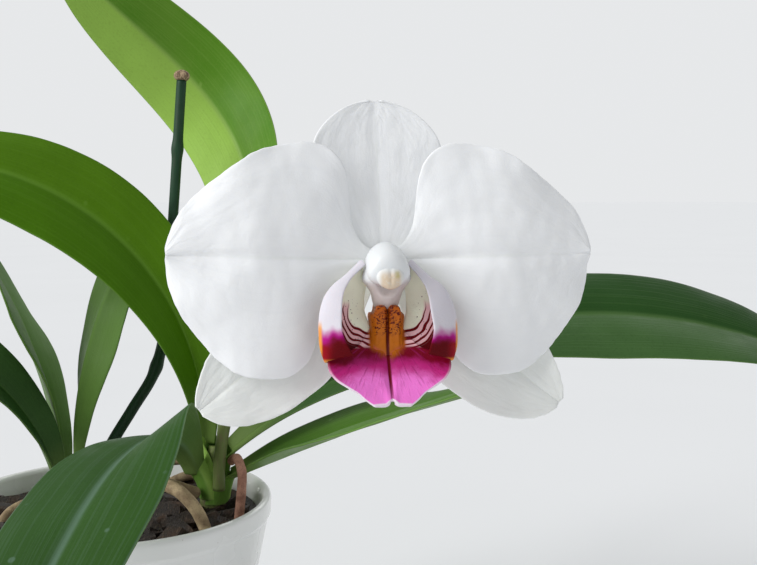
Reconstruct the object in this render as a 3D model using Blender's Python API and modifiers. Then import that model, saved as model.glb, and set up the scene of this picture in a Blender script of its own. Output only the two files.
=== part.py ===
"""A potted moth orchid: one open bloom on an arching spike, strap leaves, roots and a round pot.

Metres, +Z up. The origin is the middle of the pot's underside, and the bloom faces -Y.
Every size below is in millimetres and is turned into metres where a mesh is made.
"""
import math
import random
from dataclasses import dataclass

import bmesh
import bpy
import numpy as np
from mathutils import Matrix, Vector

MM = 0.001
GAP = 0.3

# The pot and what fills it
POT_HEIGHT = 113.0
POT_RIM_RADIUS = 76.0
POT_FOOT_RADIUS = 54.0
POT_WALL = 4.5
POT_FLOOR = 7.0
POT_RIM_BAND = 9.0
POT_STEPS = 48
MEDIUM_TOP = 103.0
MEDIUM_SIDES = 40
CHIP_COUNT = 56
CHIP_SIZE = (17.0, 10.5, 7.0)
CHIP_MARGIN = 12.8
CHIP_TURN = 137.5
CHIP_SEED = 11
HOLE_CLEARANCE = 0.6

# The stems, as points from the roots up to the crown, and their radii
STEM_MAIN = [(46.0, 12.5, 74.0), (46.5, 12.8, 96.0), (47.2, 13.2, 116.0), (47.8, 13.6, 128.0),
             (48.0, 14.0, 134.0)]
STEM_MAIN_RADII = (6.0, 7.2, 7.0, 6.0, 3.6)
STEM_SIDE = [(-20.0, 13.0, 78.0), (-20.5, 13.2, 98.0), (-21.0, 13.6, 113.0), (-21.4, 14.0, 123.0)]
STEM_SIDE_RADII = (5.0, 5.6, 5.2, 3.2)
STEM_POINTS = 22
STEM_SCAR = 0.35
STEM_SCAR_EVERY = 3

# The leaves
LEAF_THICKNESS = 2.4
LEAF_EDGE_SHARE = 0.42
LEAF_CELLS_ALONG = 17
LEAF_CELLS_ACROSS = 6
LEAF_BASE_SHARE = 0.21
LEAF_WIDEST_AT = 0.58
LEAF_BASE_FOLD = 38.0
LEAF_BLADE_FOLD = 13.0
LEAF_CURL = 0.006
LEAF_WAVE = 0.9
LEAF_WAVES = 2.2

# The living spike, its pedicel and the cut spike
SPIKE_PATH = [(50.6, 3.2, 115.0), (51.4, 1.6, 130.0), (54.6, -3.6, 147.0), (66.0, -22.0, 182.0),
              (86.0, -62.0, 223.0), (106.0, -112.0, 255.0), (120.0, -158.0, 271.0),
              (127.0, -188.0, 272.0), (131.0, -204.0, 266.0), (133.0, -212.0, 259.0)]
SPIKE_POINTS = 36
SPIKE_FOOT_RADIUS = 3.0
SPIKE_END_RADIUS = 1.5
SPIKE_NODES = (0.16, 0.36, 0.55, 0.72, 0.86, 0.95)
SPIKE_NODE_SWELL = 0.8
END_BUDS = (((0.6, -0.6, -1.2), 2.9), ((-1.2, 2.4, -3.2), 2.2))
BRACT_LENGTH = 9.0
BRACT_WIDTH = 6.4
PEDICEL_PATH = [(129.6, -196.8, 272.9), (130.6, -205.0, 275.5), (131.0, -216.0, 271.0),
                (130.0, -227.0, 258.0)]
PEDICEL_SEAT = [(0.0, 2.6, -12.5), (0.0, 0.6, -8.0), (0.0, 0.0, -4.7)]
PEDICEL_RADII = (1.5, 1.5, 1.6, 2.0, 2.6, 3.0)
PEDICEL_POINTS = 20
CUT_SPIKE_PATH = [(-15.35, 18.3, 111.0), (-8.0, 25.0, 130.0), (3.0, 30.0, 149.0), (13.0, 34.0, 166.0),
                  (18.6, 36.0, 186.0), (23.8, 38.0, 248.0), (28.6, 40.0, 315.0)]
CUT_SPIKE_POINTS = 26
CUT_SPIKE_RADIUS = 2.9
CUT_SPIKE_TAPER = 0.16
CUT_SPIKE_NODES = (8, 15, 21)
CUT_SPIKE_SWELL = 0.6
CUT_END_RADIUS = 4.1
CUT_END_HEIGHT = 5.0

# Roots: each one's path, radius at its start and radius at its tip
ROOTS = {
    "root_front": ([(40.2, 6.0, 112.0), (31.0, -6.0, 119.0), (29.0, -20.0, 124.0),
                    (38.0, -27.0, 122.0), (47.0, -30.0, 112.0), (51.0, -31.0, 100.0),
                    (52.0, -31.0, 86.0)], 3.1, 2.8),
    "root_right": ([(55.8, 7.0, 127.6), (60.0, 0.6, 131.0), (62.6, -3.6, 126.0),
                    (62.4, -5.0, 114.0), (61.0, -5.4, 101.0), (60.0, -5.6, 86.0)], 2.2, 2.4),
    "root_back": ([(45.0, 21.6, 108.0), (40.0, 32.0, 113.0), (28.0, 44.0, 111.0),
                   (14.0, 52.0, 102.0), (6.0, 54.0, 88.0)], 2.6, 2.4),
    "root_left": ([(-26.2, 8.2, 104.0), (-36.0, 0.0, 110.0), (-46.0, -14.0, 108.0),
                   (-48.0, -26.0, 98.0), (-48.0, -30.0, 84.0)], 2.5, 2.3),
    "root_free": ([(41.6, 17.2, 119.0), (30.0, 24.0, 124.0), (14.0, 24.0, 121.0),
                   (0.0, 14.0, 116.0), (-4.0, 0.0, 113.0)], 2.4, 2.0),
}
ROOT_SPACING = 4.5

# The bloom's own frame: u to the right, v up in its plane, w towards the viewer
BLOOM_CENTRE = (129.3, -247.4, 240.8)
BLOOM_YAW = 7.0
BLOOM_LEAN_BACK = 4.6
PETAL_THICKNESS = 0.8
PETAL_EDGE_SHARE = 0.8
PETAL_CELLS = (14, 10)
SEPAL_CELLS = (10, 6)
PETAL_UPPER = [(1.2, 2.4), (4.5, 4.2), (7.3, 8.7), (8.1, 14.4), (8.5, 19.2), (9.9, 23.8),
               (13.2, 27.2), (17.5, 28.5), (23.0, 28.0), (29.0, 26.5), (36.0, 22.3), (43.0, 17.2),
               (48.0, 11.9), (50.4, 6.6), (51.2, 3.4)]
PETAL_LOWER = [(1.2, -1.4), (5.3, -1.0), (10.7, -8.5), (15.5, -16.4), (18.5, -24.0), (22.5, -26.9),
               (28.0, -27.4), (34.5, -26.2), (39.5, -22.7), (44.5, -17.0), (48.8, -10.5),
               (50.9, -4.3), (51.3, 0.6)]
DORSAL_STATIONS = [(1.4, 3.0), (8.0, 8.1), (15.0, 12.8), (22.0, 15.6), (27.0, 15.9), (31.0, 14.6),
                   (34.5, 11.8), (37.2, 8.2), (38.8, 4.4), (39.3, 1.6)]
DORSAL_TURN = -0.03
LATERAL_UPPER = [(3.9, -0.6), (15.0, -1.5), (28.0, -7.0), (36.8, -14.5), (41.6, -21.7),
                 (43.9, -27.5), (44.8, -31.8), (44.7, -34.0)]
LATERAL_LOWER = [(1.4, -3.8), (4.6, -12.0), (8.4, -21.0), (13.0, -28.2), (18.0, -32.3), (22.9, -35.6),
                 (28.6, -37.9), (34.5, -38.8), (39.9, -37.9), (43.2, -36.0)]
SEPAL_DEPTH = -3.6
PETAL_DEPTH = -2.4
LIP_THICKNESS = 1.0
LOBE_ROOT = [(4.4, -5.2, 1.6), (4.9, -8.5, 1.4), (5.2, -12.0, 1.8), (5.4, -15.5, 2.6),
             (5.4, -18.5, 3.7), (5.2, -21.0, 4.9), (5.0, -23.0, 6.0)]
LOBE_BACK = [(5.7, 0.0, 3.4), (9.3, -3.6, 4.6), (12.8, -6.4, 5.4), (14.7, -9.3, 6.0),
             (15.5, -12.6, 6.4), (15.7, -16.2, 6.8), (15.5, -19.7, 7.4), (14.5, -23.0, 8.2)]
LOBE_MARGIN = [(5.0, -0.6, 5.0), (8.1, -4.3, 7.4), (9.5, -7.4, 9.2), (9.9, -10.7, 10.4),
               (10.2, -14.5, 11.2), (10.0, -17.4, 11.6), (9.2, -19.6, 11.4), (8.4, -21.4, 10.8)]
LOBE_BACK_AT = 0.55
LOBE_CELLS = (11, 8)
MIDLOBE_STATIONS = [(-9.4, 0.6, 4.4), (-13.0, 1.3, 5.2), (-17.0, 2.8, 5.8), (-20.0, 4.3, 7.4),
                    (-21.8, 5.4, 11.0), (-23.6, 6.7, 14.0), (-26.2, 8.6, 13.4), (-28.8, 10.5, 9.8),
                    (-31.2, 12.3, 7.0), (-33.2, 13.8, 4.0)]
CALLUS_CENTRE = (2.1, -13.9, 5.9)
CALLUS_RADII = (2.5, 4.0, 3.1)
COLUMN_PATH = [(0.0, 0.2, -1.7), (0.0, 0.0, 2.0), (0.0, -0.8, 6.0), (0.0, -1.9, 9.0), (0.0, -2.9, 11.2)]
COLUMN_RADII = (3.9, 4.5, 4.7, 4.5, 3.2)
COLUMN_FOOT_PATH = [(0.0, -0.5, 3.0), (0.0, -5.0, 2.6), (0.0, -8.2, 1.6)]
COLUMN_FOOT_RADII = (4.2, 3.6, 2.6)
STIGMA_CENTRE = (0.0, -6.6, 9.0)
STIGMA_RADIUS = 3.0
ANTHER_CENTRE = (0.0, -3.4, 12.9)
ANTHER_RADII = (3.0, 2.3, 1.4)


@dataclass(frozen=True)
class Leaf:
    """One strap leaf: where it starts, where it heads and how it arches, in mm and degrees."""

    base: tuple
    heading: tuple
    rise: tuple
    length: float
    width: float
    roll: tuple
    bend: float = 1.0
    wave_start: float = 0.0


LEAVES = {
    "leaf_left_arching": Leaf((42.0, 15.1, 134.9), (173, 190), (92, -10), 239, 56, (-65, -42)),
    "leaf_crown_tall": Leaf((51.5, 15.8, 137.2), (11, 251), (83, 29), 304, 54, (-13, -115), 1.0, 1.1),
    "leaf_front_low": Leaf((39.6, 6.6, 121.5), (262, 258), (74, -47), 212, 62, (38, -9), 0.5, 2.0),
    "leaf_right_low": Leaf((55.4, 10.4, 119.2), (343, 331), (26, 17), 169, 53, (19, -5), 1.0, 0.4),
    "leaf_right_long": Leaf((55.6, 12.6, 131.5), (359, 368), (41, -25), 314, 62, (38, 37), 1.0, 3.0),
    "side_leaf_upright": Leaf((-21.6, 14.6, 124.0), (215, 243), (89, 134), 131, 36, (-2, -2), 1.0, 0.8),
    "side_leaf_narrow": Leaf((-28.6, 19.0, 117.0), (165, 177), (83, 54), 133, 42, (12, 14), 1.0, 2.4),
    "side_leaf_broad": Leaf((-27.6, 4.6, 114.0), (208, 196), (80, -9), 168, 50, (-36, -18), 1.0, 1.6),
}


def clear_scene():
    """Remove what the scene holds, so that the script can be run again."""
    for item in list(bpy.data.objects):
        bpy.data.objects.remove(item, do_unlink=True)
    for group in list(bpy.data.collections):
        bpy.data.collections.remove(group)


def new_collection(name):
    """Return a new collection linked to the scene."""
    group = bpy.data.collections.new(name)
    bpy.context.scene.collection.children.link(group)
    return group


def new_material(name, colour, roughness, metallic=0.0):
    """Return a Principled material of one colour."""
    material = bpy.data.materials.new(name)
    material.use_nodes = True
    shader = material.node_tree.nodes["Principled BSDF"]
    shader.inputs["Base Color"].default_value = (*colour, 1.0)
    shader.inputs["Roughness"].default_value = roughness
    shader.inputs["Metallic"].default_value = metallic
    material.diffuse_color = (*colour, 1.0)
    return material


def add_object(name, mesh, material, group):
    """Return a new object for the mesh, shaded smooth, in the given collection."""
    item = bpy.data.objects.new(name, mesh)
    if material is not None:
        mesh.materials.append(material)
    mesh.shade_smooth()
    mesh.set_sharp_from_angle(angle=math.radians(50.0))
    group.objects.link(item)
    return item


def finish_mesh(bm, name):
    """Turn a bmesh in millimetres into a mesh in metres."""
    bmesh.ops.scale(bm, vec=(MM, MM, MM), verts=bm.verts)
    mesh = bpy.data.meshes.new(name)
    bm.to_mesh(mesh)
    bm.free()
    return mesh


def smooth_curve(points, count):
    """Return count points spaced evenly along a smooth curve through the given ones."""
    points = np.array(points, float)
    steps = np.linalg.norm(np.diff(points, axis=0), axis=1)
    knots = np.concatenate([[0.0], np.cumsum(steps)])
    slopes = np.gradient(points, knots, axis=0)
    fine = np.linspace(0.0, knots[-1], 40 * len(points))
    cell = np.clip(np.searchsorted(knots, fine, side="right") - 1, 0, len(knots) - 2)
    span = (knots[cell + 1] - knots[cell])[:, None]
    x = (fine - knots[cell])[:, None] / span
    curve = (2 * x**3 - 3 * x**2 + 1) * points[cell]
    curve += (x**3 - 2 * x**2 + x) * span * slopes[cell]
    curve += (3 * x**2 - 2 * x**3) * points[cell + 1]
    curve += (x**3 - x**2) * span * slopes[cell + 1]
    lengths = np.concatenate([[0.0], np.cumsum(np.linalg.norm(np.diff(curve, axis=0), axis=1))])
    even = np.linspace(0.0, lengths[-1], count)
    return np.stack([np.interp(even, lengths, axis) for axis in curve.T], axis=1)


def along(values, share):
    """Return the value at a share of the way along evenly spaced values, axis by axis."""
    values = np.array(values, float)
    places = np.linspace(0.0, 1.0, len(values))
    if values.ndim == 1:
        return float(np.interp(share, places, values))
    return np.array([np.interp(share, places, axis) for axis in values.T])


def smooth_step(value):
    """Return 0 to 1 with a soft start and end."""
    value = min(1.0, max(0.0, value))
    return value * value * (3.0 - 2.0 * value)


def longer(path, reach):
    """Return a path with both its ends moved outward by a length."""
    path = [Vector(point) for point in path]
    path[0] += (path[0] - path[1]).normalized() * reach
    path[-1] += (path[-1] - path[-2]).normalized() * reach
    return path


def tube_mesh(name, path, radii, sides=8, grow=0.0):
    """Return a closed tube mesh along a path, with a radius for each of its points."""
    if grow:
        path = longer(path, grow)
    curve = bpy.data.curves.new(name, "CURVE")
    curve.dimensions = "3D"
    curve.bevel_depth = MM
    curve.bevel_resolution = max(0, sides // 4 - 1) if sides % 4 == 0 else 2
    curve.use_fill_caps = True
    spline = curve.splines.new("POLY")
    spline.points.add(len(path) - 1)
    for point, place, radius in zip(spline.points, path, radii):
        point.co = (*(Vector(place) * MM), 1.0)
        point.radius = radius + grow
    guide = bpy.data.objects.new(name, curve)
    bpy.context.scene.collection.objects.link(guide)
    bpy.context.view_layer.update()
    mesh = bpy.data.meshes.new_from_object(guide.evaluated_get(bpy.context.evaluated_depsgraph_get()))
    bpy.data.objects.remove(guide, do_unlink=True)
    bpy.data.curves.remove(curve)
    bm = bmesh.new()
    bm.from_mesh(mesh)
    bmesh.ops.remove_doubles(bm, verts=bm.verts, dist=0.000001)
    bmesh.ops.recalc_face_normals(bm, faces=bm.faces)
    bm.to_mesh(mesh)
    bm.free()
    mesh.name = name
    return mesh


def sheet_object(name, shape, cells, thickness, edge_share, material, group):
    """Return a blade: a flat grid bent by shape(s, t), with s 0 to 1 along it and t -1 to 1 across."""
    cells_along, cells_across = cells
    bm = bmesh.new()
    bmesh.ops.create_grid(bm, x_segments=cells_across, y_segments=cells_along, size=1.0)
    weights = []
    for vert in bm.verts:
        s, t = (vert.co.y + 1.0) / 2.0, vert.co.x
        weights.append(1.0 - abs(t) ** 1.5)
        vert.co = Vector(shape(s, t))
    bmesh.ops.triangulate(bm, faces=bm.faces)
    item = add_object(name, finish_mesh(bm, name), material, group)
    thick = item.vertex_groups.new(name="Thick")
    for index, weight in enumerate(weights):
        thick.add([index], weight, "REPLACE")
    solidify = item.modifiers.new("Thickness", "SOLIDIFY")
    solidify.thickness = thickness * MM
    solidify.offset = 0.0
    solidify.vertex_group = "Thick"
    solidify.thickness_vertex_group = edge_share
    return item


def apply_modifiers(item):
    """Replace an object's mesh with the one its modifiers give."""
    bpy.context.view_layer.update()
    mesh = bpy.data.meshes.new_from_object(item.evaluated_get(bpy.context.evaluated_depsgraph_get()))
    item.modifiers.clear()
    item.data = mesh


def union(name, items, material, group, solver="EXACT"):
    """Fuse objects into one with a Boolean on their collection, and drop the collection's objects."""
    first, rest = items[0], items[1:]
    joined = new_collection(name + "_joined")
    for item in rest:
        for home in list(item.users_collection):
            home.objects.unlink(item)
        joined.objects.link(item)
    boolean = first.modifiers.new("Fuse", "BOOLEAN")
    boolean.operation = "UNION"
    boolean.operand_type = "COLLECTION"
    boolean.collection = joined
    boolean.solver = solver
    apply_modifiers(first)
    for item in rest:
        bpy.data.objects.remove(item, do_unlink=True)
    bpy.data.collections.remove(joined)
    first.name = name
    first.data.materials.clear()
    first.data.materials.append(material)
    return first


def cut(item, cutter, solver="EXACT"):
    """Take a cutter object's shape out of an object with a Boolean that stays on it."""
    boolean = item.modifiers.new("Cut by " + cutter.name, "BOOLEAN")
    boolean.operation = "DIFFERENCE"
    boolean.object = cutter
    boolean.solver = solver


def keep_main_body(item):
    """Keep an object's largest body: sealed hollows are filled and loose scraps dropped."""
    bm = bmesh.new()
    bm.from_mesh(item.data)
    waiting = set(bm.verts)
    bodies = []
    while waiting:
        body, edge = set(), [waiting.pop()]
        while edge:
            vert = edge.pop()
            body.add(vert)
            near = [link.other_vert(vert) for link in vert.link_edges]
            edge.extend(other for other in near if other in waiting)
            waiting.difference_update(near)
        bodies.append(body)
    largest = max(bodies, key=len)
    extra = [vert for body in bodies if body is not largest for vert in body]
    bmesh.ops.delete(bm, geom=extra, context="VERTS")
    bm.to_mesh(item.data)
    bm.free()


def hide_cutter(item):
    """Mark an object as a cutter, which is no part of the model."""
    item.hide_render = True
    item.display_type = "WIRE"


# The pot and the medium


def pot_profile():
    """Return the pot's section from the middle of its floor, up the inside and down the outside."""
    inner_rim = POT_RIM_RADIUS - POT_WALL
    inner_foot = POT_FOOT_RADIUS - POT_WALL
    under_band = POT_RIM_RADIUS - 1.6
    return [(0.0, POT_FLOOR), (inner_foot - 6.0, POT_FLOOR), (inner_foot - 1.0, POT_FLOOR + 3.0),
            (inner_rim, POT_HEIGHT - 2.0), (inner_rim + 1.2, POT_HEIGHT - 0.4),
            (POT_RIM_RADIUS - 1.8, POT_HEIGHT), (POT_RIM_RADIUS - 0.4, POT_HEIGHT - 1.0),
            (POT_RIM_RADIUS, POT_HEIGHT - 2.6), (POT_RIM_RADIUS - 0.3, POT_HEIGHT - POT_RIM_BAND),
            (under_band, POT_HEIGHT - POT_RIM_BAND - 1.8), (POT_FOOT_RADIUS + 0.6, 3.0),
            (POT_FOOT_RADIUS - 1.6, 0.0), (0.0, 0.0)]


def build_pot(material, group):
    """Turn the pot's section round its axis."""
    bm = bmesh.new()
    points = [bm.verts.new((x, 0.0, z)) for x, z in pot_profile()]
    for start, end in zip(points, points[1:]):
        bm.edges.new((start, end))
    pot = add_object("pot", finish_mesh(bm, "pot"), material, group)
    screw = pot.modifiers.new("Turn", "SCREW")
    screw.axis = "Z"
    screw.steps = POT_STEPS
    screw.render_steps = POT_STEPS
    screw.use_merge_vertices = True
    screw.merge_threshold = 0.0001
    return pot


def inner_radius(height):
    """Return the radius of the pot's inside at a height."""
    low, high = POT_FLOOR + 3.0, POT_HEIGHT - 2.0
    start, end = POT_FOOT_RADIUS - POT_WALL - 1.0, POT_RIM_RADIUS - POT_WALL
    return start + (end - start) * (height - low) / (high - low)


def chip_mesh(draw, index):
    """Return one bark chip: a rough block, turned and sunk into the top of the medium."""
    bm = bmesh.new()
    bmesh.ops.create_cube(bm, size=1.0)
    for vert in bm.verts:
        vert.co += Vector([draw.uniform(-0.16, 0.16) for _ in range(3)])
    size = [length * draw.uniform(0.75, 1.2) for length in CHIP_SIZE]
    bmesh.ops.scale(bm, vec=size, verts=bm.verts)
    turn = Matrix.Rotation(draw.uniform(0.0, math.pi), 4, "Z")
    tip = Matrix.Rotation(draw.uniform(-0.5, 0.5), 4, "X")
    tip = tip @ Matrix.Rotation(draw.uniform(-0.4, 0.4), 4, "Y")
    reach = (inner_radius(MEDIUM_TOP) - CHIP_MARGIN) * math.sqrt((index + 0.5) / CHIP_COUNT)
    angle = index * math.radians(CHIP_TURN)
    height = MEDIUM_TOP + draw.uniform(-1.8, 1.6)
    place = Vector((reach * math.cos(angle), reach * math.sin(angle), height))
    bmesh.ops.transform(bm, matrix=Matrix.Translation(place) @ turn @ tip, verts=bm.verts)
    return finish_mesh(bm, "chip")


def build_medium(material, group, cutter_tubes, cutters):
    """Fill the pot with a plug of bark, its top of separate chips, with plain holes for what grows."""
    bm = bmesh.new()
    low, high = POT_FLOOR + 3.4, MEDIUM_TOP
    bmesh.ops.create_cone(bm, cap_ends=True, segments=MEDIUM_SIDES, radius1=inner_radius(low) - 2 * GAP,
                          radius2=inner_radius(high) - 2 * GAP, depth=high - low)
    bmesh.ops.translate(bm, vec=(0.0, 0.0, (low + high) / 2.0), verts=bm.verts)
    pieces = [add_object("growing_medium", finish_mesh(bm, "growing_medium"), None, group)]
    draw = random.Random(CHIP_SEED)
    for index in range(CHIP_COUNT):
        pieces.append(add_object("chip", chip_mesh(draw, index), None, group))
    medium = union("growing_medium", pieces, material, group, "MANIFOLD")
    holes = [add_object(f"hole_{index}", mesh, None, cutters) for index, mesh in enumerate(cutter_tubes)]
    hole = union("medium_holes", holes, material, cutters, "MANIFOLD")
    hide_cutter(hole)
    cut(medium, hole, "MANIFOLD")
    apply_modifiers(medium)
    keep_main_body(medium)
    return medium


# Stems, roots and spikes


def root_line(path, start, end):
    """Return a root's points and radii, with a rounded tip."""
    length = np.linalg.norm(np.diff(np.array(path), axis=0), axis=1).sum()
    count = max(8, round(length / ROOT_SPACING))
    points = smooth_curve(path, count)
    radii = [start + (end - start) * index / (count - 1) for index in range(count)]
    radii[-2] *= 0.92
    radii[-1] *= 0.55
    return points, radii


def build_roots(material, group):
    """Lay each root from its stem into the medium, and return the shapes of their holes."""
    holes = []
    for name, (path, start, end) in ROOTS.items():
        points, radii = root_line(path, start, end)
        add_object(name, tube_mesh(name, points, radii, 8), material, group)
        holes.append(tube_mesh(name, points, radii, 8, HOLE_CLEARANCE))
    return holes


def build_stem(name, path, radii, material, group):
    """Make a stem, ringed by old leaf scars, and return the shape of its hole in the medium."""
    points = smooth_curve(path, STEM_POINTS)
    sizes = [along(radii, index / (STEM_POINTS - 1)) for index in range(STEM_POINTS)]
    for index in range(1, STEM_POINTS, STEM_SCAR_EVERY):
        sizes[index] += STEM_SCAR
    add_object(name, tube_mesh(name, points, sizes, 12), material, group)
    return tube_mesh(name, points, sizes, 12, HOLE_CLEARANCE)


def spike_line():
    """Return the living spike's points and radii, with a swelling at each node."""
    points = smooth_curve(SPIKE_PATH, SPIKE_POINTS)
    radii = []
    for index in range(SPIKE_POINTS):
        share = index / (SPIKE_POINTS - 1)
        swell = sum(math.exp(-((share - node) * 70.0) ** 2) for node in SPIKE_NODES)
        taper = SPIKE_FOOT_RADIUS + (SPIKE_END_RADIUS - SPIKE_FOOT_RADIUS) * share
        radii.append(taper + SPIKE_NODE_SWELL * swell)
    return points, radii


def frame_along(points, share):
    """Return the place, direction and side of a path at a share of its length."""
    place = along(points, share)
    ahead = Vector(along(points, min(1.0, share + 0.02)) - along(points, share - 0.02)).normalized()
    side = ahead.cross(Vector((0.0, 0.0, 1.0))).normalized()
    return Vector(place), ahead, side


def bract_shape(place, ahead, side, radius):
    """Return the shape of one bract: a pointed scale that hugs the spike below a node's bud."""
    out = side.cross(ahead).normalized()

    def shape(s, t):
        reach = 0.5 * BRACT_WIDTH * (1.0 - s**1.6) + 0.25
        angle = t * reach / (radius + 0.5)
        lift = radius - 0.4 + 1.9 * s
        around = out * math.cos(angle) + side * math.sin(angle)
        return place + ahead * (BRACT_LENGTH * s - 2.0) + around * lift

    return shape


def build_spike(stalk_material, group):
    """Make the living spike with its bracts and end buds fused to it."""
    points, radii = spike_line()
    pieces = [add_object("flower_spike", tube_mesh("flower_spike", points, radii, 8), None, group)]
    for index, node in enumerate(SPIKE_NODES[:-1]):
        place, ahead, side = frame_along(points, node)
        flip = side if index % 2 else -side
        radius = along(radii, node)
        bract = sheet_object("bract", bract_shape(place, ahead, flip, radius), (4, 2), 0.9, 0.7, None, group)
        apply_modifiers(bract)
        pieces.append(bract)
    for offset, size in END_BUDS:
        bm = bmesh.new()
        bmesh.ops.create_uvsphere(bm, u_segments=8, v_segments=6, radius=size)
        bmesh.ops.scale(bm, vec=(0.85, 0.85, 1.3), verts=bm.verts)
        bmesh.ops.translate(bm, vec=Vector(points[-1]) + Vector(offset), verts=bm.verts)
        pieces.append(add_object("bud", finish_mesh(bm, "bud"), None, group))
    return union("flower_spike", pieces, stalk_material, group, "MANIFOLD")


def build_cut_spike(stalk_material, end_material, group):
    """Make the old spike, cut short, with its dry end, and return its hole's shape."""
    points = smooth_curve(CUT_SPIKE_PATH, CUT_SPIKE_POINTS)
    radii = [CUT_SPIKE_RADIUS * (1.0 - CUT_SPIKE_TAPER * index / CUT_SPIKE_POINTS)
             for index in range(CUT_SPIKE_POINTS)]
    for node in CUT_SPIKE_NODES:
        radii[node] += CUT_SPIKE_SWELL
    add_object("cut_spike", tube_mesh("cut_spike", points, radii, 8), stalk_material, group)
    ahead = Vector(points[-1] - points[-2]).normalized()
    start = Vector(points[-1]) + ahead * GAP
    rises = (0.0, 1.2, CUT_END_HEIGHT - 1.0, CUT_END_HEIGHT)
    end = [start + ahead * rise for rise in rises]
    sizes = (CUT_END_RADIUS * 0.78, CUT_END_RADIUS, CUT_END_RADIUS * 0.95, CUT_END_RADIUS * 0.7)
    add_object("cut_spike_end", tube_mesh("cut_spike_end", end, sizes, 12), end_material, group)
    return tube_mesh("cut_spike", points, radii, 8, HOLE_CLEARANCE)


# Leaves


def leaf_half_width(share, width):
    """Return a leaf's half width at a share of its length."""
    if share < LEAF_WIDEST_AT:
        grown = smooth_step(share / LEAF_WIDEST_AT) ** 0.65
        return 0.5 * width * (LEAF_BASE_SHARE + (1.0 - LEAF_BASE_SHARE) * grown)
    rest = (share - LEAF_WIDEST_AT) / (1.0 - LEAF_WIDEST_AT)
    return 0.5 * width * math.sqrt(max(0.0, 1.0 - rest**2.3))


def leaf_shape(leaf):
    """Return the shape(s, t) of a leaf: an arched midrib and a blade folded up along it."""
    steps = np.linspace(0.0, 1.0, 81)
    heading = np.radians(leaf.heading[0] + (leaf.heading[1] - leaf.heading[0]) * steps)
    rise = np.radians(leaf.rise[0] + (leaf.rise[1] - leaf.rise[0]) * steps**leaf.bend)
    ahead = np.stack([np.cos(rise) * np.cos(heading), np.cos(rise) * np.sin(heading), np.sin(rise)], axis=1)
    side = np.stack([-np.sin(heading), np.cos(heading), 0.0 * heading], axis=1)
    up = np.cross(ahead, side)
    moves = (ahead[1:] + ahead[:-1]) * 0.5 * leaf.length / 80.0
    path = np.array(leaf.base) + np.concatenate([[(0.0, 0.0, 0.0)], np.cumsum(moves, axis=0)])

    def shape(s, t):
        s = 1.0 - (1.0 - s) ** 1.35
        s = min(s, 0.997)
        roll = math.radians(leaf.roll[0] + (leaf.roll[1] - leaf.roll[0]) * s)
        across = along(side, s) * math.cos(roll) + along(up, s) * math.sin(roll)
        above = along(up, s) * math.cos(roll) - along(side, s) * math.sin(roll)
        fold = math.radians(LEAF_BASE_FOLD + (LEAF_BLADE_FOLD - LEAF_BASE_FOLD) * min(1.0, s * 1.6))
        reach = leaf_half_width(s, leaf.width) * t
        phase = 2.0 * math.pi * LEAF_WAVES * s + leaf.wave_start + t
        wave = LEAF_WAVE * t * t * math.sin(phase) * smooth_step(3.0 * s)
        lift = abs(reach) * math.sin(fold) - LEAF_CURL * reach * reach * smooth_step(s * 2.0)
        return along(path, s) + across * reach * math.cos(fold) + above * (lift + wave)

    return shape


def build_leaves(material, group):
    """Make each leaf as one blade."""
    for name, leaf in LEAVES.items():
        sheet_object(name, leaf_shape(leaf), (LEAF_CELLS_ALONG, LEAF_CELLS_ACROSS), LEAF_THICKNESS,
                     LEAF_EDGE_SHARE, material, group)


# The bloom


def bloom_place():
    """Return the matrix from the bloom's own frame to the plant's, both in mm."""
    stand = Matrix.Rotation(math.radians(90.0), 4, "X")
    lean = Matrix.Rotation(math.radians(-BLOOM_LEAN_BACK), 4, "X")
    yaw = Matrix.Rotation(math.radians(BLOOM_YAW), 4, "Z")
    return Matrix.Translation(Vector(BLOOM_CENTRE)) @ yaw @ lean @ stand


def in_bloom(shape):
    """Return a shape given in the bloom's frame as one in the plant's frame."""
    place = bloom_place()
    return lambda s, t: place @ Vector(shape(s, t))


DORSAL_CURVE = smooth_curve(DORSAL_STATIONS, 61)
MIDLOBE_CURVE = smooth_curve(MIDLOBE_STATIONS, 61)


def two_edge_shape(upper, lower, depth, side):
    """Return a shape between two outlines that share a middle line, mirrored when side is -1."""
    count = 61
    top, bottom = smooth_curve(upper, count), smooth_curve(lower, count)
    start, end = 0.5 * (top[0] + bottom[0]), 0.5 * (top[-1] + bottom[-1])

    def shape(s, t):
        middle = start + (end - start) * s
        edge = along(top if t > 0 else bottom, s)
        u, v = middle + (edge - middle) * abs(t)
        return side * u, v, depth(s, t)

    return shape


def petal_depth(s, t):
    """Return how far a petal stands forward: a soft swell, a midrib crease and a waved margin."""
    swell = 5.4 * smooth_step(s / 0.62) - 4.4 * smooth_step((s - 0.45) / 0.6)
    crease = -0.7 * math.exp(-((t / 0.16) ** 2)) * smooth_step(4.0 * s) * (1.0 - 0.6 * s)
    wave = 0.8 * abs(t) ** 4 * math.sin(19.0 * s + 2.0 * t) * smooth_step(2.5 * s)
    roll_back = -1.6 * abs(t) ** 3 * smooth_step(1.6 * s)
    return PETAL_DEPTH + swell + crease + wave + roll_back


def lateral_depth(s, t):
    """Return how far a lateral sepal stands forward, always behind the petals."""
    cup = 0.9 * t * t * smooth_step(2.0 * s)
    return SEPAL_DEPTH - 2.8 * smooth_step(s / 0.5) + 1.6 * smooth_step((s - 0.5) * 2.0) + cup


def dorsal_shape(s, t):
    """Return a point of the dorsal sepal."""
    v, half = along(DORSAL_CURVE, s)
    lean_back = 2.2 * math.sin(0.5 * math.pi * s)
    margin = 1.0 * t * t * s + 0.35 * math.sin(9.0 * s + 2.0) * abs(t) ** 3
    crease = 0.4 * math.exp(-((t / 0.2) ** 2)) * s
    return DORSAL_TURN * v + half * t, v, SEPAL_DEPTH - lean_back + margin - crease


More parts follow.
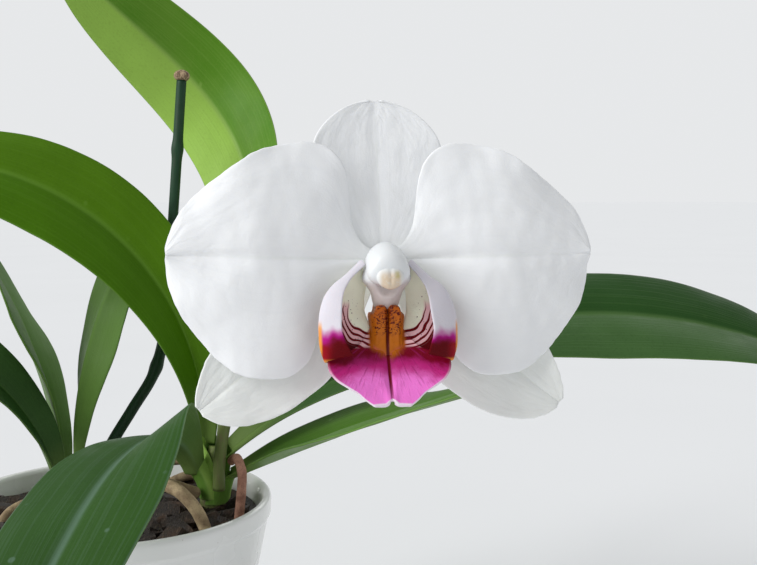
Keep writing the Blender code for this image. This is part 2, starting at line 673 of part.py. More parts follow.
def build_tepals(material, group):
    """Make the three sepals and the two petals, each as one blade."""
    blade = (PETAL_THICKNESS, PETAL_EDGE_SHARE, material, group)
    sheet_object("dorsal_sepal", in_bloom(dorsal_shape), SEPAL_CELLS, *blade)
    for name, side in (("left", -1.0), ("right", 1.0)):
        lateral = two_edge_shape(LATERAL_UPPER, LATERAL_LOWER, lateral_depth, side)
        sheet_object("lateral_sepal_" + name, in_bloom(lateral), SEPAL_CELLS, *blade)
        petal = two_edge_shape(PETAL_UPPER, PETAL_LOWER, petal_depth, side)
        sheet_object("petal_" + name, in_bloom(petal), PETAL_CELLS, *blade)


def side_lobe_shape(side):
    """Return the shape of one erect side lobe of the lip: a cupped hand, curled in at its margin."""
    root, back, margin = (smooth_curve(edge, 41) for edge in (LOBE_ROOT, LOBE_BACK, LOBE_MARGIN))
    root_pull, margin_pull = (1.0 - LOBE_BACK_AT) ** 2, LOBE_BACK_AT**2
    corner_pull = 2.0 * LOBE_BACK_AT * (1.0 - LOBE_BACK_AT)

    def shape(s, t):
        q = 0.5 * (t + 1.0)
        start, end = along(root, s), along(margin, s)
        corner = (along(back, s) - start * root_pull - end * margin_pull) / corner_pull
        point = start * (1.0 - q) ** 2 + corner * 2.0 * q * (1.0 - q) + end * q * q
        return side * point[0], point[1], point[2]

    return shape


def midlobe_shape(s, t):
    """Return a point of the lip's claw and mid lobe, with its groove and its two-lobed tip."""
    v, w, half = along(MIDLOBE_CURVE, s)
    tip = smooth_step((s - 0.72) / 0.28)
    notch = tip * (1.5 * math.exp(-((t / 0.3) ** 2)) - 0.5)
    cup = 1.9 * t * t * smooth_step(s * 2.2) * (1.0 - 0.75 * tip)
    groove = -0.6 * math.exp(-((t / 0.18) ** 2)) * smooth_step((s - 0.35) * 3.0)
    return half * t, v + notch, w + cup + groove


def ball_mesh(name, centre, radii, place, segments=12):
    """Return an ellipsoid in the bloom's frame."""
    bm = bmesh.new()
    bmesh.ops.create_uvsphere(bm, u_segments=segments, v_segments=segments * 2 // 3, radius=1.0)
    bmesh.ops.scale(bm, vec=radii, verts=bm.verts)
    bmesh.ops.translate(bm, vec=centre, verts=bm.verts)
    bmesh.ops.transform(bm, matrix=place, verts=bm.verts)
    return finish_mesh(bm, name)


def build_lip(material, callus_material, group):
    """Make the lip, its three lobes fused as they grew, and the callus on it."""
    midlobe = sheet_object("lip", in_bloom(midlobe_shape), (14, 8), LIP_THICKNESS + 0.3, 0.7, None, group)
    apply_modifiers(midlobe)
    pieces = [midlobe]
    for side in (-1.0, 1.0):
        shape = in_bloom(side_lobe_shape(side))
        lobe = sheet_object("lobe", shape, LOBE_CELLS, LIP_THICKNESS, 0.9, None, group)
        apply_modifiers(lobe)
        pieces.append(lobe)
    union("lip", pieces, material, group)
    place = bloom_place()
    u, v, w = CALLUS_CENTRE
    halves = []
    for side in (-1.0, 1.0):
        mesh = ball_mesh("callus", (side * u, v, w), CALLUS_RADII, place)
        halves.append(add_object("callus", mesh, None, group))
    union("lip_callus", halves, callus_material, group)


def build_column(column_material, anther_material, group, cutters):
    """Make the column with its foot and its stigma's hollow, and the anther cap on its end."""
    place = bloom_place()
    pieces = []
    for path, radii, count in ((COLUMN_PATH, COLUMN_RADII, 12), (COLUMN_FOOT_PATH, COLUMN_FOOT_RADII, 6)):
        points = [place @ Vector(point) for point in smooth_curve(path, count)]
        sizes = [along(radii, index / (count - 1)) for index in range(count)]
        pieces.append(add_object("column", tube_mesh("column", points, sizes, 12), None, group))
    column = union("column", pieces, column_material, group)
    hollow = ball_mesh("stigma_hollow", STIGMA_CENTRE, (STIGMA_RADIUS,) * 3, place)
    stigma = add_object("stigma_hollow", hollow, None, cutters)
    hide_cutter(stigma)
    cut(column, stigma)
    cap = ball_mesh("anther_cap", ANTHER_CENTRE, ANTHER_RADII, place, 10)
    add_object("anther_cap", cap, anther_material, group)


def build_pedicel(material, group):
    """Make the bloom's own stalk, widening to its seat behind the sepals."""
    place = bloom_place()
    seat = [place @ Vector(point) for point in PEDICEL_SEAT]
    points = smooth_curve(PEDICEL_PATH + seat, PEDICEL_POINTS)
    radii = [along(PEDICEL_RADII, index / (PEDICEL_POINTS - 1)) for index in range(PEDICEL_POINTS)]
    add_object("pedicel", tube_mesh("pedicel", points, radii, 8), material, group)


def build():
    """Build the whole plant in its pot."""
    clear_scene()
    orchid = new_collection("potted_moth_orchid")
    cutters = new_collection("cutters")
    glaze = new_material("white_glaze", (0.86, 0.87, 0.86), 0.25)
    bark = new_material("bark", (0.045, 0.03, 0.02), 0.9)
    stem_green = new_material("stem_green", (0.17, 0.24, 0.06), 0.5)
    leaf_green = new_material("leaf_green", (0.09, 0.2, 0.04), 0.38)
    root_tan = new_material("root_tan", (0.36, 0.29, 0.18), 0.75)
    spike_green = new_material("spike_green", (0.16, 0.2, 0.07), 0.5)
    dark_spike = new_material("dark_spike", (0.02, 0.07, 0.03), 0.5)
    dry_end = new_material("dry_end", (0.5, 0.4, 0.26), 0.85)
    white = new_material("petal_white", (0.86, 0.87, 0.9), 0.5)
    magenta = new_material("lip_magenta", (0.62, 0.05, 0.36), 0.45)
    orange = new_material("callus_orange", (0.7, 0.25, 0.02), 0.45)
    cream = new_material("anther_cream", (0.72, 0.6, 0.45), 0.5)
    holes = build_roots(root_tan, orchid)
    holes.append(build_stem("stem_main", STEM_MAIN, STEM_MAIN_RADII, stem_green, orchid))
    holes.append(build_stem("stem_side", STEM_SIDE, STEM_SIDE_RADII, stem_green, orchid))
    build_leaves(leaf_green, orchid)
    build_spike(spike_green, orchid)
    holes.append(build_cut_spike(dark_spike, dry_end, orchid))
    build_pedicel(spike_green, orchid)
    build_tepals(white, orchid)
    build_lip(magenta, orange, orchid)
    build_column(white, cream, orchid, cutters)
    build_pot(glaze, orchid)
    build_medium(bark, orchid, holes, cutters)


build()
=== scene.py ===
"""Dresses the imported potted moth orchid: its bloom, leaves, roots, spikes, bark and pot.

Lengths in the classes are in millimetres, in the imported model's own frame: the origin is the middle
of the pot's underside, +Z is up and the open bloom faces -Y. A mesh is scaled to metres when it is made.
"""
import logging
import math
import random
from dataclasses import dataclass
from enum import Enum
from functools import cached_property, partial
from typing import Any, Callable, ClassVar, Sequence

import bmesh
import bpy
import numpy as np
from mathutils import Euler, Matrix, Vector, noise


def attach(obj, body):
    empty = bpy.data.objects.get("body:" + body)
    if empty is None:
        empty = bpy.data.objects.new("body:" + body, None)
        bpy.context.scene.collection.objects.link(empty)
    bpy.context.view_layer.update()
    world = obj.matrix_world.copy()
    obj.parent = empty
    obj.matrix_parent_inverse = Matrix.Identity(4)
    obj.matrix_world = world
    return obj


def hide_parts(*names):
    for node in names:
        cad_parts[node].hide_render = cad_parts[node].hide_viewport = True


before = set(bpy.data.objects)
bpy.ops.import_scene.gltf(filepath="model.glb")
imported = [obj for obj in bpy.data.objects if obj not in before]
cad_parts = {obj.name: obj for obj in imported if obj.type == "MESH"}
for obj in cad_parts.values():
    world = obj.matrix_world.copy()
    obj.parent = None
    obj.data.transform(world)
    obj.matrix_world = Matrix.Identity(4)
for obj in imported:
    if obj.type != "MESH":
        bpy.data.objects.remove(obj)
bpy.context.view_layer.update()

LOG = logging.getLogger("orchid")
MM = 0.001
OUTLINE_ROWS = 121
Pair = tuple[float, float]
Point = tuple[float, float, float]
Colour = tuple[float, float, float]
Shape = Callable[[float, float], Sequence[float]]
Radius = Callable[[float, float], float]
BMesh = bmesh.types.BMesh
Material = bpy.types.Material
Object = bpy.types.Object


# Curves and small sums


def soft(value: float) -> float:
    """Return 0 to 1 with a soft start and end."""
    value = min(1.0, max(0.0, value))
    return value * value * (3.0 - 2.0 * value)


def bell(value: float, width: float) -> float:
    """Return 1 at zero, falling off to both sides over a width."""
    return math.exp(-((value / width) ** 2))


def dome(value: float, least: float) -> float:
    """Return 1 up to zero, then down a quarter circle to the square root of the least at one."""
    return math.sqrt(max(least, 1.0 - max(0.0, value) ** 2))


def between(ends: Pair, share: Any) -> Any:
    """Return the value at a share of the way from one end to the other."""
    return ends[0] + (ends[1] - ends[0]) * share


def smooth_curve(points: Sequence[Sequence[float]], count: int) -> np.ndarray:
    """Space points evenly along a smooth curve.

    Args:
        points: the points that the curve goes through.
        count: how many points to return.

    Returns:
        An array with one row for each point.
    """
    given = np.array([tuple(point) for point in points], float)
    knots = np.concatenate([[0.0], np.cumsum(np.linalg.norm(np.diff(given, axis=0), axis=1))])
    slopes = np.gradient(given, knots, axis=0)
    fine = np.linspace(0.0, knots[-1], 40 * len(given))
    cell = np.clip(np.searchsorted(knots, fine, side="right") - 1, 0, len(knots) - 2)
    span = (knots[cell + 1] - knots[cell])[:, None]
    x = (fine - knots[cell])[:, None] / span
    curve = (2 * x**3 - 3 * x**2 + 1) * given[cell] + (x**3 - 2 * x**2 + x) * span * slopes[cell]
    curve += (3 * x**2 - 2 * x**3) * given[cell + 1] + (x**3 - x**2) * span * slopes[cell + 1]
    lengths = np.concatenate([[0.0], np.cumsum(np.linalg.norm(np.diff(curve, axis=0), axis=1))])
    even = np.linspace(0.0, lengths[-1], count)
    return np.stack([np.interp(even, lengths, axis) for axis in curve.T], axis=1)


def along(values: Any, share: float) -> Any:
    """Return the value at a share of the way along evenly spaced values, axis by axis."""
    values = np.asarray(values, float)
    place = min(1.0, max(0.0, share)) * (len(values) - 1)
    low = min(int(place), len(values) - 2)
    return values[low] + (values[low + 1] - values[low]) * (place - low)


def rough(place: Sequence[float], size: float, seed: float = 0.0) -> float:
    """Return soft noise from -1 to 1 whose features are about a size in millimetres across."""
    return noise.noise(Vector(place[:3]) / size + Vector((seed, 1.7 * seed, -seed)))


# Finishes


@dataclass(frozen=True)
class Field:
    """A number, place or colour that varies over a surface, with sums and patterns made from it."""

    mix: "Recipe"
    socket: bpy.types.NodeSocket

    def math(self, operation: str, other: Any = 0.0) -> "Field":
        """Return the result of one Math operation."""
        return self.mix.node("Math", {"operation": operation}, {0: self, 1: other})

    def __add__(self, other: Any) -> "Field":
        """Return the sum."""
        return self.math("ADD", other)

    def __sub__(self, other: Any) -> "Field":
        """Return the difference."""
        return self.math("SUBTRACT", other)

    def __mul__(self, other: Any) -> "Field":
        """Return the product: of two shares, where both hold."""
        return self.math("MULTIPLY", other)

    def __abs__(self) -> "Field":
        """Return the size without its sign."""
        return self.math("ABSOLUTE")

    def step(self, low: float, high: float, to: Pair = (0.0, 1.0)) -> "Field":
        """Return a soft step from low to high. Low may be the larger."""
        if low > high:
            low, high, to = high, low, (to[1], to[0])
        inputs = {"Value": self, "From Min": low, "From Max": high, "To Min": to[0], "To Max": to[1]}
        return self.mix.node("MapRange", {"interpolation_type": "SMOOTHSTEP"}, inputs)

    def parts(self) -> list["Field"]:
        """Return a place's three parts."""
        return [self.mix.node("SeparateXYZ", {}, {0: self}, axis) for axis in range(3)]

    def stretched(self, x: float, y: float, z: float = 1.0) -> "Field":
        """Return a place scaled axis by axis."""
        return self.mix.node("VectorMath", {"operation": "MULTIPLY"}, {0: self, 1: (x, y, z)})

    def grain(self, scale: float = 1.0, detail: float = 2.0, warp: float = 0.0) -> "Field":
        """Return noise on a place, from about 0 to 1."""
        inputs = {"Vector": self, "Scale": scale, "Detail": detail, "Distortion": warp}
        return self.mix.node("TexNoise", {}, inputs)

    def stray(self, scale: float, detail: float, reach: float) -> "Field":
        """Return noise on a place that strays to both sides of zero."""
        return (self.grain(scale, detail) - 0.5) * reach

    def spots(self, scale: float, size: float) -> "Field":
        """Return 1 inside small round spots on a place and 0 between them."""
        distance = self.mix.node("TexVoronoi", {}, {"Vector": self, "Scale": scale}, "Distance")
        return distance.step(size, 0.6 * size)


class Recipe:
    """The shader nodes of one procedural finish, whose colour is laid on coat by coat."""

    def __init__(self, name: str, ground: Colour) -> None:
        """Start a material with its ground colour."""
        self.material = bpy.data.materials.new(name)
        self.material.use_nodes = True
        self.tree = self.material.node_tree
        self.shader = self.tree.nodes["Principled BSDF"]
        self.colour: Any = ground

    def feed(self, socket: bpy.types.NodeSocket, value: Any) -> None:
        """Link a socket to a field, or set its value."""
        if isinstance(value, Field):
            self.tree.links.new(value.socket, socket)
        elif isinstance(value, tuple) and socket.type == "RGBA":
            socket.default_value = (*value, 1.0)
        else:
            socket.default_value = value

    def node(self, kind: str, settings: dict[str, Any], inputs: dict[Any, Any], output: Any = 0) -> Field:
        """Add one node.

        Args:
            kind: the node's type, without its ShaderNode prefix.
            settings: its options by name.
            inputs: its inputs by name or number, as values or fields.
            output: the name or number of the output to return.

        Returns:
            The output.
        """
        made = self.tree.nodes.new("ShaderNode" + kind)
        for key, value in settings.items():
            setattr(made, key, value)
        for key, value in inputs.items():
            self.feed(made.inputs[key], value)
        return Field(self, made.outputs[output])

    def place(self) -> Field:
        """Return the point's own place, in metres."""
        return self.node("TexCoord", {}, {}, "Object")

    def blade_place(self) -> tuple[Field, Field, Field, Field]:
        """Return a blade's place as a vector, across it, off its midrib and along it, each 0 to 1."""
        vector = self.node("UVMap", {"uv_map": "UVMap"}, {}, "UV")
        across, length, _ = vector.parts()
        return vector, across, abs(across * 2.0 - 1.0), length

    def share_along(self) -> Field:
        """Return how far along a rod the point is, from 0 to 1."""
        return self.node("Attribute", {"attribute_name": "along"}, {}, "Fac")

    def blend(self, share: Any, first: Any, second: Any) -> Field:
        """Return a mix of two colours."""
        return self.node("Mix", {"data_type": "RGBA"}, {0: share, 6: first, 7: second}, 2)

    def coat(self, share: Any, colour: Any) -> None:
        """Lay a colour over the coats so far, by a share."""
        self.colour = self.blend(share, self.colour, colour)

    def bump(self, height: Field, depth: float, strength: float) -> None:
        """Give the surface a relief whose height, from 0 to 1, is a depth in millimetres."""
        inputs = {"Strength": strength, "Distance": depth * MM, "Height": height}
        self.feed(self.shader.inputs["Normal"], self.node("Bump", {}, inputs))

    def flesh(self, weight: float, radius: Colour, scale: float) -> None:
        """Let light through the surface, over a scale in metres."""
        self.done(Subsurface_Weight=weight, Subsurface_Radius=radius, Subsurface_Scale=scale)

    def done(self, **values: Any) -> Material:
        """Set the colour and other sockets, with _ for a space in a name, and return the material."""
        for key, value in {"Base_Color": self.colour, **values}.items():
            self.feed(self.shader.inputs[key.replace("_", " ")], value)
        return self.material


def tinted(colour: Colour, share: float) -> Colour:
    """Return a colour made lighter or darker by a share."""
    return tuple(min(1.0, part * share) for part in colour)


class LeafTone(Enum):
    """A leaf's colours: the half to its left, the half to its right and the midrib."""

    BRIGHT = ((0.064, 0.175, 0.002), (0.08, 0.195, 0.004), (0.13, 0.27, 0.03))
    # SUNLIT's bright left half is painted light: the glow of light coming through the leaf from behind.
    SUNLIT = ((0.36, 0.6, 0.1), (0.075, 0.225, 0.008), (0.28, 0.45, 0.1))
    DEEP = ((0.02, 0.068, 0.012), (0.055, 0.125, 0.035), (0.08, 0.16, 0.045))
    # The next tone's pale bluish midrib colour lays pale scuffs on the leaf and a painted sheen along its
    # midrib.
    DUST_AND_SHEEN = ((0.036, 0.1, 0.018), (0.035, 0.095, 0.02), (0.14, 0.23, 0.17))
    FRESH = ((0.075, 0.18, 0.02), (0.1, 0.22, 0.035), (0.16, 0.3, 0.07))


@dataclass(frozen=True)
class LeafSkin:
    """The leathery skin of a strap leaf."""

    tone: LeafTone
    upper: bool = True
    base: Colour = (0.2, 0.3, 0.08)
    under: Colour = (0.17, 0.28, 0.08)

    def material(self) -> Material:
        """Return the material, with its veins, midrib, mottling and paler base."""
        left, right, midrib = self.tone.value
        mix = Recipe("leaf_" + self.tone.name.lower() + ("" if self.upper else "_under"), right)
        vector, across, side, length = mix.blade_place()
        place = mix.place()
        patch = place.grain(26.0, 3.0).step(0.3, 0.7)
        line = vector.stretched(52.0, 1.1).grain().step(0.46, 0.62)
        scuff = place.stretched(60.0, 60.0, 38.0).spots(1.0, 0.1) * patch.step(0.3, 0.8)
        # One half takes the tone's left colour; SUNLIT's left colour is a painted glow of light through the
        # leaf.
        mix.coat(across.step(0.47, 0.53), left)
        mix.coat(patch * 0.3, tinted(left, 0.6))
        mix.coat(line * 0.1, midrib)
        mix.coat(scuff * 0.5, midrib)
        mix.coat(place.grain(900.0).step(0.52, 0.7) * 0.16, tinted(left, 0.5))
        # A paler band along the midrib: the midrib's own paler colour, with a painted highlight along it.
        mix.coat(side.step(0.11, 0.0) * length.step(1.0, 0.75) * 0.55, midrib)
        mix.coat(side.step(0.965, 1.0) * 0.45, midrib)
        mix.coat(length.step(0.12, 0.0) * 0.8, self.base)
        if not self.upper:
            mix.coat(0.4, self.under)
        mix.bump(line * 0.5 + place.grain(1600.0, 1.0) * 0.35, 0.12, 0.55)
        gloss = place.grain(60.0, 3.0).step(0.3, 0.75, (0.36, 0.5))
        return mix.done(Roughness=gloss, Specular_IOR_Level=0.1 if self.upper else 0.08)


@dataclass(frozen=True)
class PetalSkin:
    """The white tissue of a petal or sepal."""

    name: str
    white: Colour
    vein: Colour
    throat: Colour
    streak: float = 0.0

    def material(self) -> Material:
        """Return the material, with fanned veins, fine wrinkles and a greener throat."""
        mix = Recipe(self.name, self.white)
        vector, _, side, length = mix.blade_place()
        place = mix.place()
        fan = vector.stretched(30.0, 1.6).grain(1.0, 3.0, 0.5)
        fine = vector.stretched(110.0, 3.2).grain(1.0, 2.0, 0.2)
        mix.coat(place.grain(55.0, 3.0).step(0.3, 0.7), tinted(self.white, 0.96))
        mix.coat(fan.step(0.45, 0.75) * 0.09, self.vein)
        mix.coat(fine.step(0.5, 0.7) * 0.03, self.vein)
        mix.coat(length.step(0.2, 0.02) * 0.2, self.throat)
        mix.coat(side.step(0.03, 0.0) * length.step(1.0, 0.5) * (0.3 + self.streak), self.throat)
        wrinkle = vector.stretched(8.0, 7.0).grain(1.0, 2.5, 0.5) * length.step(0.15, 0.85, (0.35, 1.0))
        tissue = wrinkle * 0.9 + place.grain(2600.0, 1.0) * 0.05
        mix.bump(fan * 0.08 + fine * 0.03 + tissue, 0.8, 0.6)
        mix.flesh(0.22, (1.0, 0.95, 0.85), 0.0022)
        return mix.done(Roughness=0.52, Sheen_Weight=0.12, Sheen_Roughness=0.4)


class BloomPlace:
    """Where the open bloom is: u runs to its right, v up in its plane and w towards the viewer."""

    centre: ClassVar[Point] = (129.3, -247.4, 240.8)
    yaw: ClassVar[float] = 7.0
    lean_back: ClassVar[float] = 4.6
    turn: ClassVar[Euler] = Euler((math.radians(90.0 - lean_back), 0.0, math.radians(yaw)))
    matrix: ClassVar[Matrix] = Matrix.Translation(centre) @ turn.to_matrix().to_4x4()

    @classmethod
    def at(cls, u: float, v: float, w: float) -> Vector:
        """Return the place in the plant of a place in the bloom."""
        return cls.matrix @ Vector((u, v, w))

    @classmethod
    def read(cls, mix: Recipe) -> tuple[Field, Field, Field, Field]:
        """Return a point's place in the bloom's frame in millimetres, as a vector, |u|, v and u."""
        inputs = {"Vector": mix.place(), "Location": tuple(part * MM for part in cls.centre),
                  "Rotation": tuple(cls.turn), "Scale": (MM, MM, MM)}
        vector = mix.node("Mapping", {"vector_type": "TEXTURE"}, inputs)
        u, v, _ = vector.parts()
        return vector, abs(u), v, u


@dataclass(frozen=True)
class LobeSkin:
    """The lip's side lobes: white above, crimson below, with an orange rim and striped throat."""

    white: Colour = (0.72, 0.69, 0.75)
    # The wall's pale green is painted near white: painted light standing for light coming through the thin
    # wall.
    green: Colour = (0.98, 1.0, 0.8)
    pink: Colour = (0.88, 0.55, 0.58)
    magenta: Colour = (0.46, 0.006, 0.26)
    crimson: Colour = (0.12, 0.0, 0.003)
    red: Colour = (0.3, 0.002, 0.01)
    orange: Colour = (0.82, 0.33, 0.05)

    @staticmethod
    def stripes(vector: Field, u: Field, v: Field) -> tuple[Field, Field]:
        """Return the distance from the throat's side, and 1 on the stripes that run round it."""
        rise, reach = v + 10.6, (u - 4.0).math("DIVIDE", 0.87)
        ring = (rise * rise + reach * reach).math("SQRT") + vector.stray(0.35, 0.0, 1.5)
        wave = ((ring - 6.1) * (2.0 * math.pi / 1.22)).math("COSINE")
        return ring, (wave + v.step(-16.0, -10.0, (0.05, -0.65))).step(0.1, 0.45)

    def material(self) -> Material:
        """Return the material: the cuff outside, and the wall on the throat's side."""
        mix = Recipe("lip_side_lobe", self.white)
        vector, u, v, _ = BloomPlace.read(mix)
        level = v + vector.stray(0.32, 1.5, 3.4)
        mix.coat(level.step(-14.6, -17.6), self.magenta)
        mix.coat(level.step(-17.0, -19.6), self.red)
        mix.coat(u.step(15.3, 12.6) * level.step(-16.6, -19.0), self.crimson)
        mix.coat(u.step(15.25, 15.8) * v.step(-13.0, -15.5) * 0.9, self.orange)
        mix.coat(v.step(-22.0, -23.0) * u.step(11.6, 13.4), self.orange)
        # The wall starts from its pale green, painted bright for the light coming through it.
        cuff, mix.colour = mix.colour, self.green
        ring, lines = self.stripes(vector, u, v)
        low = v.step(-8.6, -11.0)
        mix.coat(ring.step(5.4, 6.2) * low, self.pink)
        mix.coat(vector.spots(1.1, 0.2) * v.step(-6.0, -8.0) * u.step(6.4, 7.2) * 0.75, self.crimson)
        mix.coat(lines * ring.step(5.5, 5.8) * low, tinted(self.crimson, 1.3))
        mix.coat(ring.step(9.6, 10.2), self.crimson)
        mix.coat(mix.blade_place()[1].step(0.46, 0.54), cuff)
        mix.bump(vector.grain(2.4, 3.0), 0.25, 0.4)
        mix.flesh(0.2, (1.0, 0.8, 0.7), 0.001)
        return mix.done(Roughness=0.45, Specular_IOR_Level=0.1)


@dataclass(frozen=True)
class MidlobeSkin:
    """The lip's claw and mid lobe: orange throat, crimson groove, magenta blade and pale margin."""

    top: Colour = (0.2, 0.0, 0.015)
    middle: Colour = (0.52, 0.02, 0.2)
    tip: Colour = (0.88, 0.2, 0.66)
    amber: Colour = (0.52, 0.135, 0.004)
    blush: Colour = (0.86, 0.52, 0.55)
    groove: Colour = (0.16, 0.0, 0.008)
    pale: Colour = (0.88, 0.76, 0.86)

    def material(self) -> Material:
        """Return the material."""
        mix = Recipe("lip_mid_lobe", self.top)
        vector, u, v, _ = BloomPlace.read(mix)
        _, _, side, length = mix.blade_place()
        level = v + vector.stray(0.45, 2.0, 2.6)
        deep = level + u.step(6.0, 12.0) * 1.6
        mix.coat(deep.step(-21.4, -23.8), self.middle)
        mix.coat(deep.step(-23.6, -27.6), self.tip)
        fall = u.math("ARCTAN2", v * -1.0 + -15.0)
        fan = mix.node("CombineXYZ", {}, {0: fall * 22.0, 1: v * 0.3})
        veins = fan.grain().step(0.52, 0.7)
        mix.coat(veins * v.step(-31.0, -24.0) * 0.55, tinted(self.middle, 0.7))
        mix.coat(vector.spots(1.3, 0.2) * v.step(-29.0, -25.0) * u.step(4.0, 7.0) * 0.5, self.top)
        striped = mix.blend(LobeSkin.stripes(vector, u, v)[1], self.blush, self.groove)
        mix.coat(v.step(-20.2, -19.4) * u.step(3.8, 4.4), striped)
        mix.coat(u.step(4.8, 3.6) * (level - u * 0.6).step(-23.8, -21.2), self.amber)
        mix.coat(u.step(0.55, 0.2) * v.step(-35.0, -27.0) * v.step(-16.4, -18.0), self.groove)
        outer = side.step(0.955, 0.995) * length.step(0.55, 0.8)
        mix.coat(outer.math("MAXIMUM", length.step(0.972, 0.992)), self.pale)
        mix.bump(vector.grain(2.0) * 0.6 + veins * 0.4, 0.25, 0.45)
        mix.flesh(0.08, (1.0, 0.4, 0.6), 0.001)
        return mix.done(Roughness=0.42, Specular_IOR_Level=0.12)


@dataclass(frozen=True)
class CallusSkin:
    """The lip's waxy orange callus with its dark squiggles."""

    orange: Colour = (0.46, 0.1, 0.003)
    amber: Colour = (0.55, 0.15, 0.004)
    blush: Colour = (0.5, 0.03, 0.1)
    ink: Colour = (0.09, 0.002, 0.002)

    def material(self) -> Material:
        """Return the material."""
        mix = Recipe("lip_callus_wax", self.orange)
        vector, u, v, _ = BloomPlace.read(mix)
        curl = vector.stretched(1.0, 2.0, 0.5).grain(0.7, 1.0, 0.9)
        squiggle = abs(curl - 0.5).step(0.075, 0.04) * vector.grain(1.5, 1.0).step(0.38, 0.46)
        mix.coat(v.step(-11.0, -16.5), self.amber)
        mix.coat((v - u * 0.6).step(-20.8, -23.4), self.blush)
        mix.coat(squiggle * (u.step(3.6, 2.9) * v.step(-17.6, -16.2)), self.ink)
        mix.coat(vector.spots(1.5, 0.24) * u.step(2.6, 3.1) * v.step(-16.0, -14.5), self.ink)
        mix.coat(u.step(0.55, 0.2) * v.step(-12.0, -17.5, (0.35, 1.0)), tinted(self.ink, 1.2))
        mix.coat(u.step(3.9, 4.4) * v.step(-12.5, -14.5) * 0.8, self.ink)
        mix.bump(vector.grain(1.6), 0.2, 0.5)
        return mix.done(Roughness=0.42, Specular_IOR_Level=0.25)


@dataclass(frozen=True)
class ColumnSkin:
    """The column's white, pinker below its cap, with painted shade in the hollow there."""

    white: Colour = (0.8, 0.82, 0.83)
    shade: Colour = (0.66, 0.57, 0.54)

    def material(self) -> Material:
        """Return the material."""
        mix = Recipe("column_white", self.white)
        vector, _, v, _ = BloomPlace.read(mix)
        # Greyer and pinker below the cap: a pinker tone with painted shade in the hollow.
        mix.coat(v.step(-3.6, -6.2) * 0.9, self.shade)
        mix.bump(vector.grain(1.4), 0.12, 0.3)
        mix.flesh(0.2, (1.0, 0.9, 0.8), 0.002)
        return mix.done(Roughness=0.42)


@dataclass(frozen=True)
class CapSkin:
    """The anther cap: cream, tan in the middle, with a yellow-green fleck."""

    cream: Colour = (0.8, 0.81, 0.8)
    tan: Colour = (0.74, 0.6, 0.44)
    fleck: Colour = (0.5, 0.44, 0.12)

    def material(self) -> Material:
        """Return the material."""
        mix = Recipe("anther_cap_cream", self.cream)
        vector, u, v, right = BloomPlace.read(mix)
        mix.coat(v.step(-1.8, -3.8) * u.step(3.0, 1.6), self.tan)
        spot = right.step(0.5, 1.4) * right.step(2.4, 1.6) * v.step(-1.8, -2.9) * v.step(-4.4, -3.4)
        mix.coat(spot * 0.6, self.fleck)
        mix.coat(vector.grain(1.5).step(0.5, 0.7) * 0.3, self.cream)
        return mix.done(Roughness=0.45, Specular_IOR_Level=0.3)


@dataclass(frozen=True)
class StalkSkin:
    """The skin of a stem, spike or pedicel, with a second colour towards its end."""

    name: str
    start: Colour
    end: Colour
    fleck: Colour
    roughness: float = 0.45

    def material(self) -> Material:
        """Return the material, with long streaks and flecks."""
        mix = Recipe(self.name, self.start)
        place = mix.place()
        streak = place.stretched(900.0, 900.0, 60.0).grain(1.0, 3.0)
        mix.coat(mix.share_along().step(0.05, 0.95), self.end)
        mix.coat(streak.step(0.45, 0.7) * 0.4, self.fleck)
        mix.coat(place.grain(110.0, 3.0).step(0.45, 0.7) * 0.35, tinted(self.start, 0.6))
        mix.bump(streak, 0.18, 0.5)
        return mix.done(Roughness=self.roughness, Specular_IOR_Level=0.25)


@dataclass(frozen=True)
class RootSkin:
    """The papery skin of an aerial root, green at its growing tip."""

    name: str
    pale: Colour
    brown: Colour
    tip: Colour = (0.2, 0.24, 0.08)

    def material(self) -> Material:
        """Return the material."""
        mix = Recipe(self.name, self.pale)
        place = mix.place()
        scale = place.grain(1500.0, 3.0)
        mix.coat(place.grain(160.0, 4.0).step(0.36, 0.66), self.brown)
        mix.coat(scale.step(0.5, 0.7) * 0.45, tinted(self.brown, 0.5))
        mix.coat(mix.share_along().step(0.9, 0.98), self.tip)
        mix.bump(scale * 0.5 + place.grain(420.0, 3.0), 0.4, 0.7)
        return mix.done(Roughness=0.78)


@dataclass(frozen=True)
class BarkSkin:
    """Damp bark chips: near black, with browner worn faces and pale fibres."""

    dark: Colour = (0.014, 0.009, 0.006)
    brown: Colour = (0.055, 0.031, 0.018)
    fibre: Colour = (0.15, 0.1, 0.06)

    def material(self) -> Material:
        """Return the material."""
        mix = Recipe("bark_chips", self.dark)
        place = mix.place()
        patch = place.grain(85.0, 4.0).step(0.42, 0.68)
        thread = place.stretched(1400.0, 260.0, 500.0).grain(1.0, 4.0)
        mix.coat(patch, self.brown)
        mix.coat(thread.step(0.58, 0.72) * 0.5, self.fibre)
        mix.bump(thread * 0.6 + place.grain(700.0, 4.0), 0.9, 0.8)
        return mix.done(Roughness=patch.step(0.0, 1.0, (0.62, 0.9)))


@dataclass(frozen=True)
class PotGlaze:
    """White glossy glaze, a little warmer where it is thin, with faint pooling and specks."""

    white: Colour = (0.82, 0.83, 0.82)
    thin: Colour = (0.76, 0.74, 0.7)
    speck: Colour = (0.42, 0.38, 0.33)

    def material(self) -> Material:
        """Return the material."""
        mix = Recipe("white_pot_glaze", self.white)
        place = mix.place()
        mix.coat(place.grain(14.0, 3.0).step(0.3, 0.7) * 0.35, self.thin)
        mix.coat(place.spots(160.0, 0.06) * 0.4, self.speck)
        mix.bump(place.grain(45.0), 0.3, 0.25)
        rougher = place.grain(30.0, 3.0).step(0.3, 0.75, (0.2, 0.32))
        return mix.done(Roughness=rougher, Coat_Weight=0.5, Coat_Roughness=0.08)


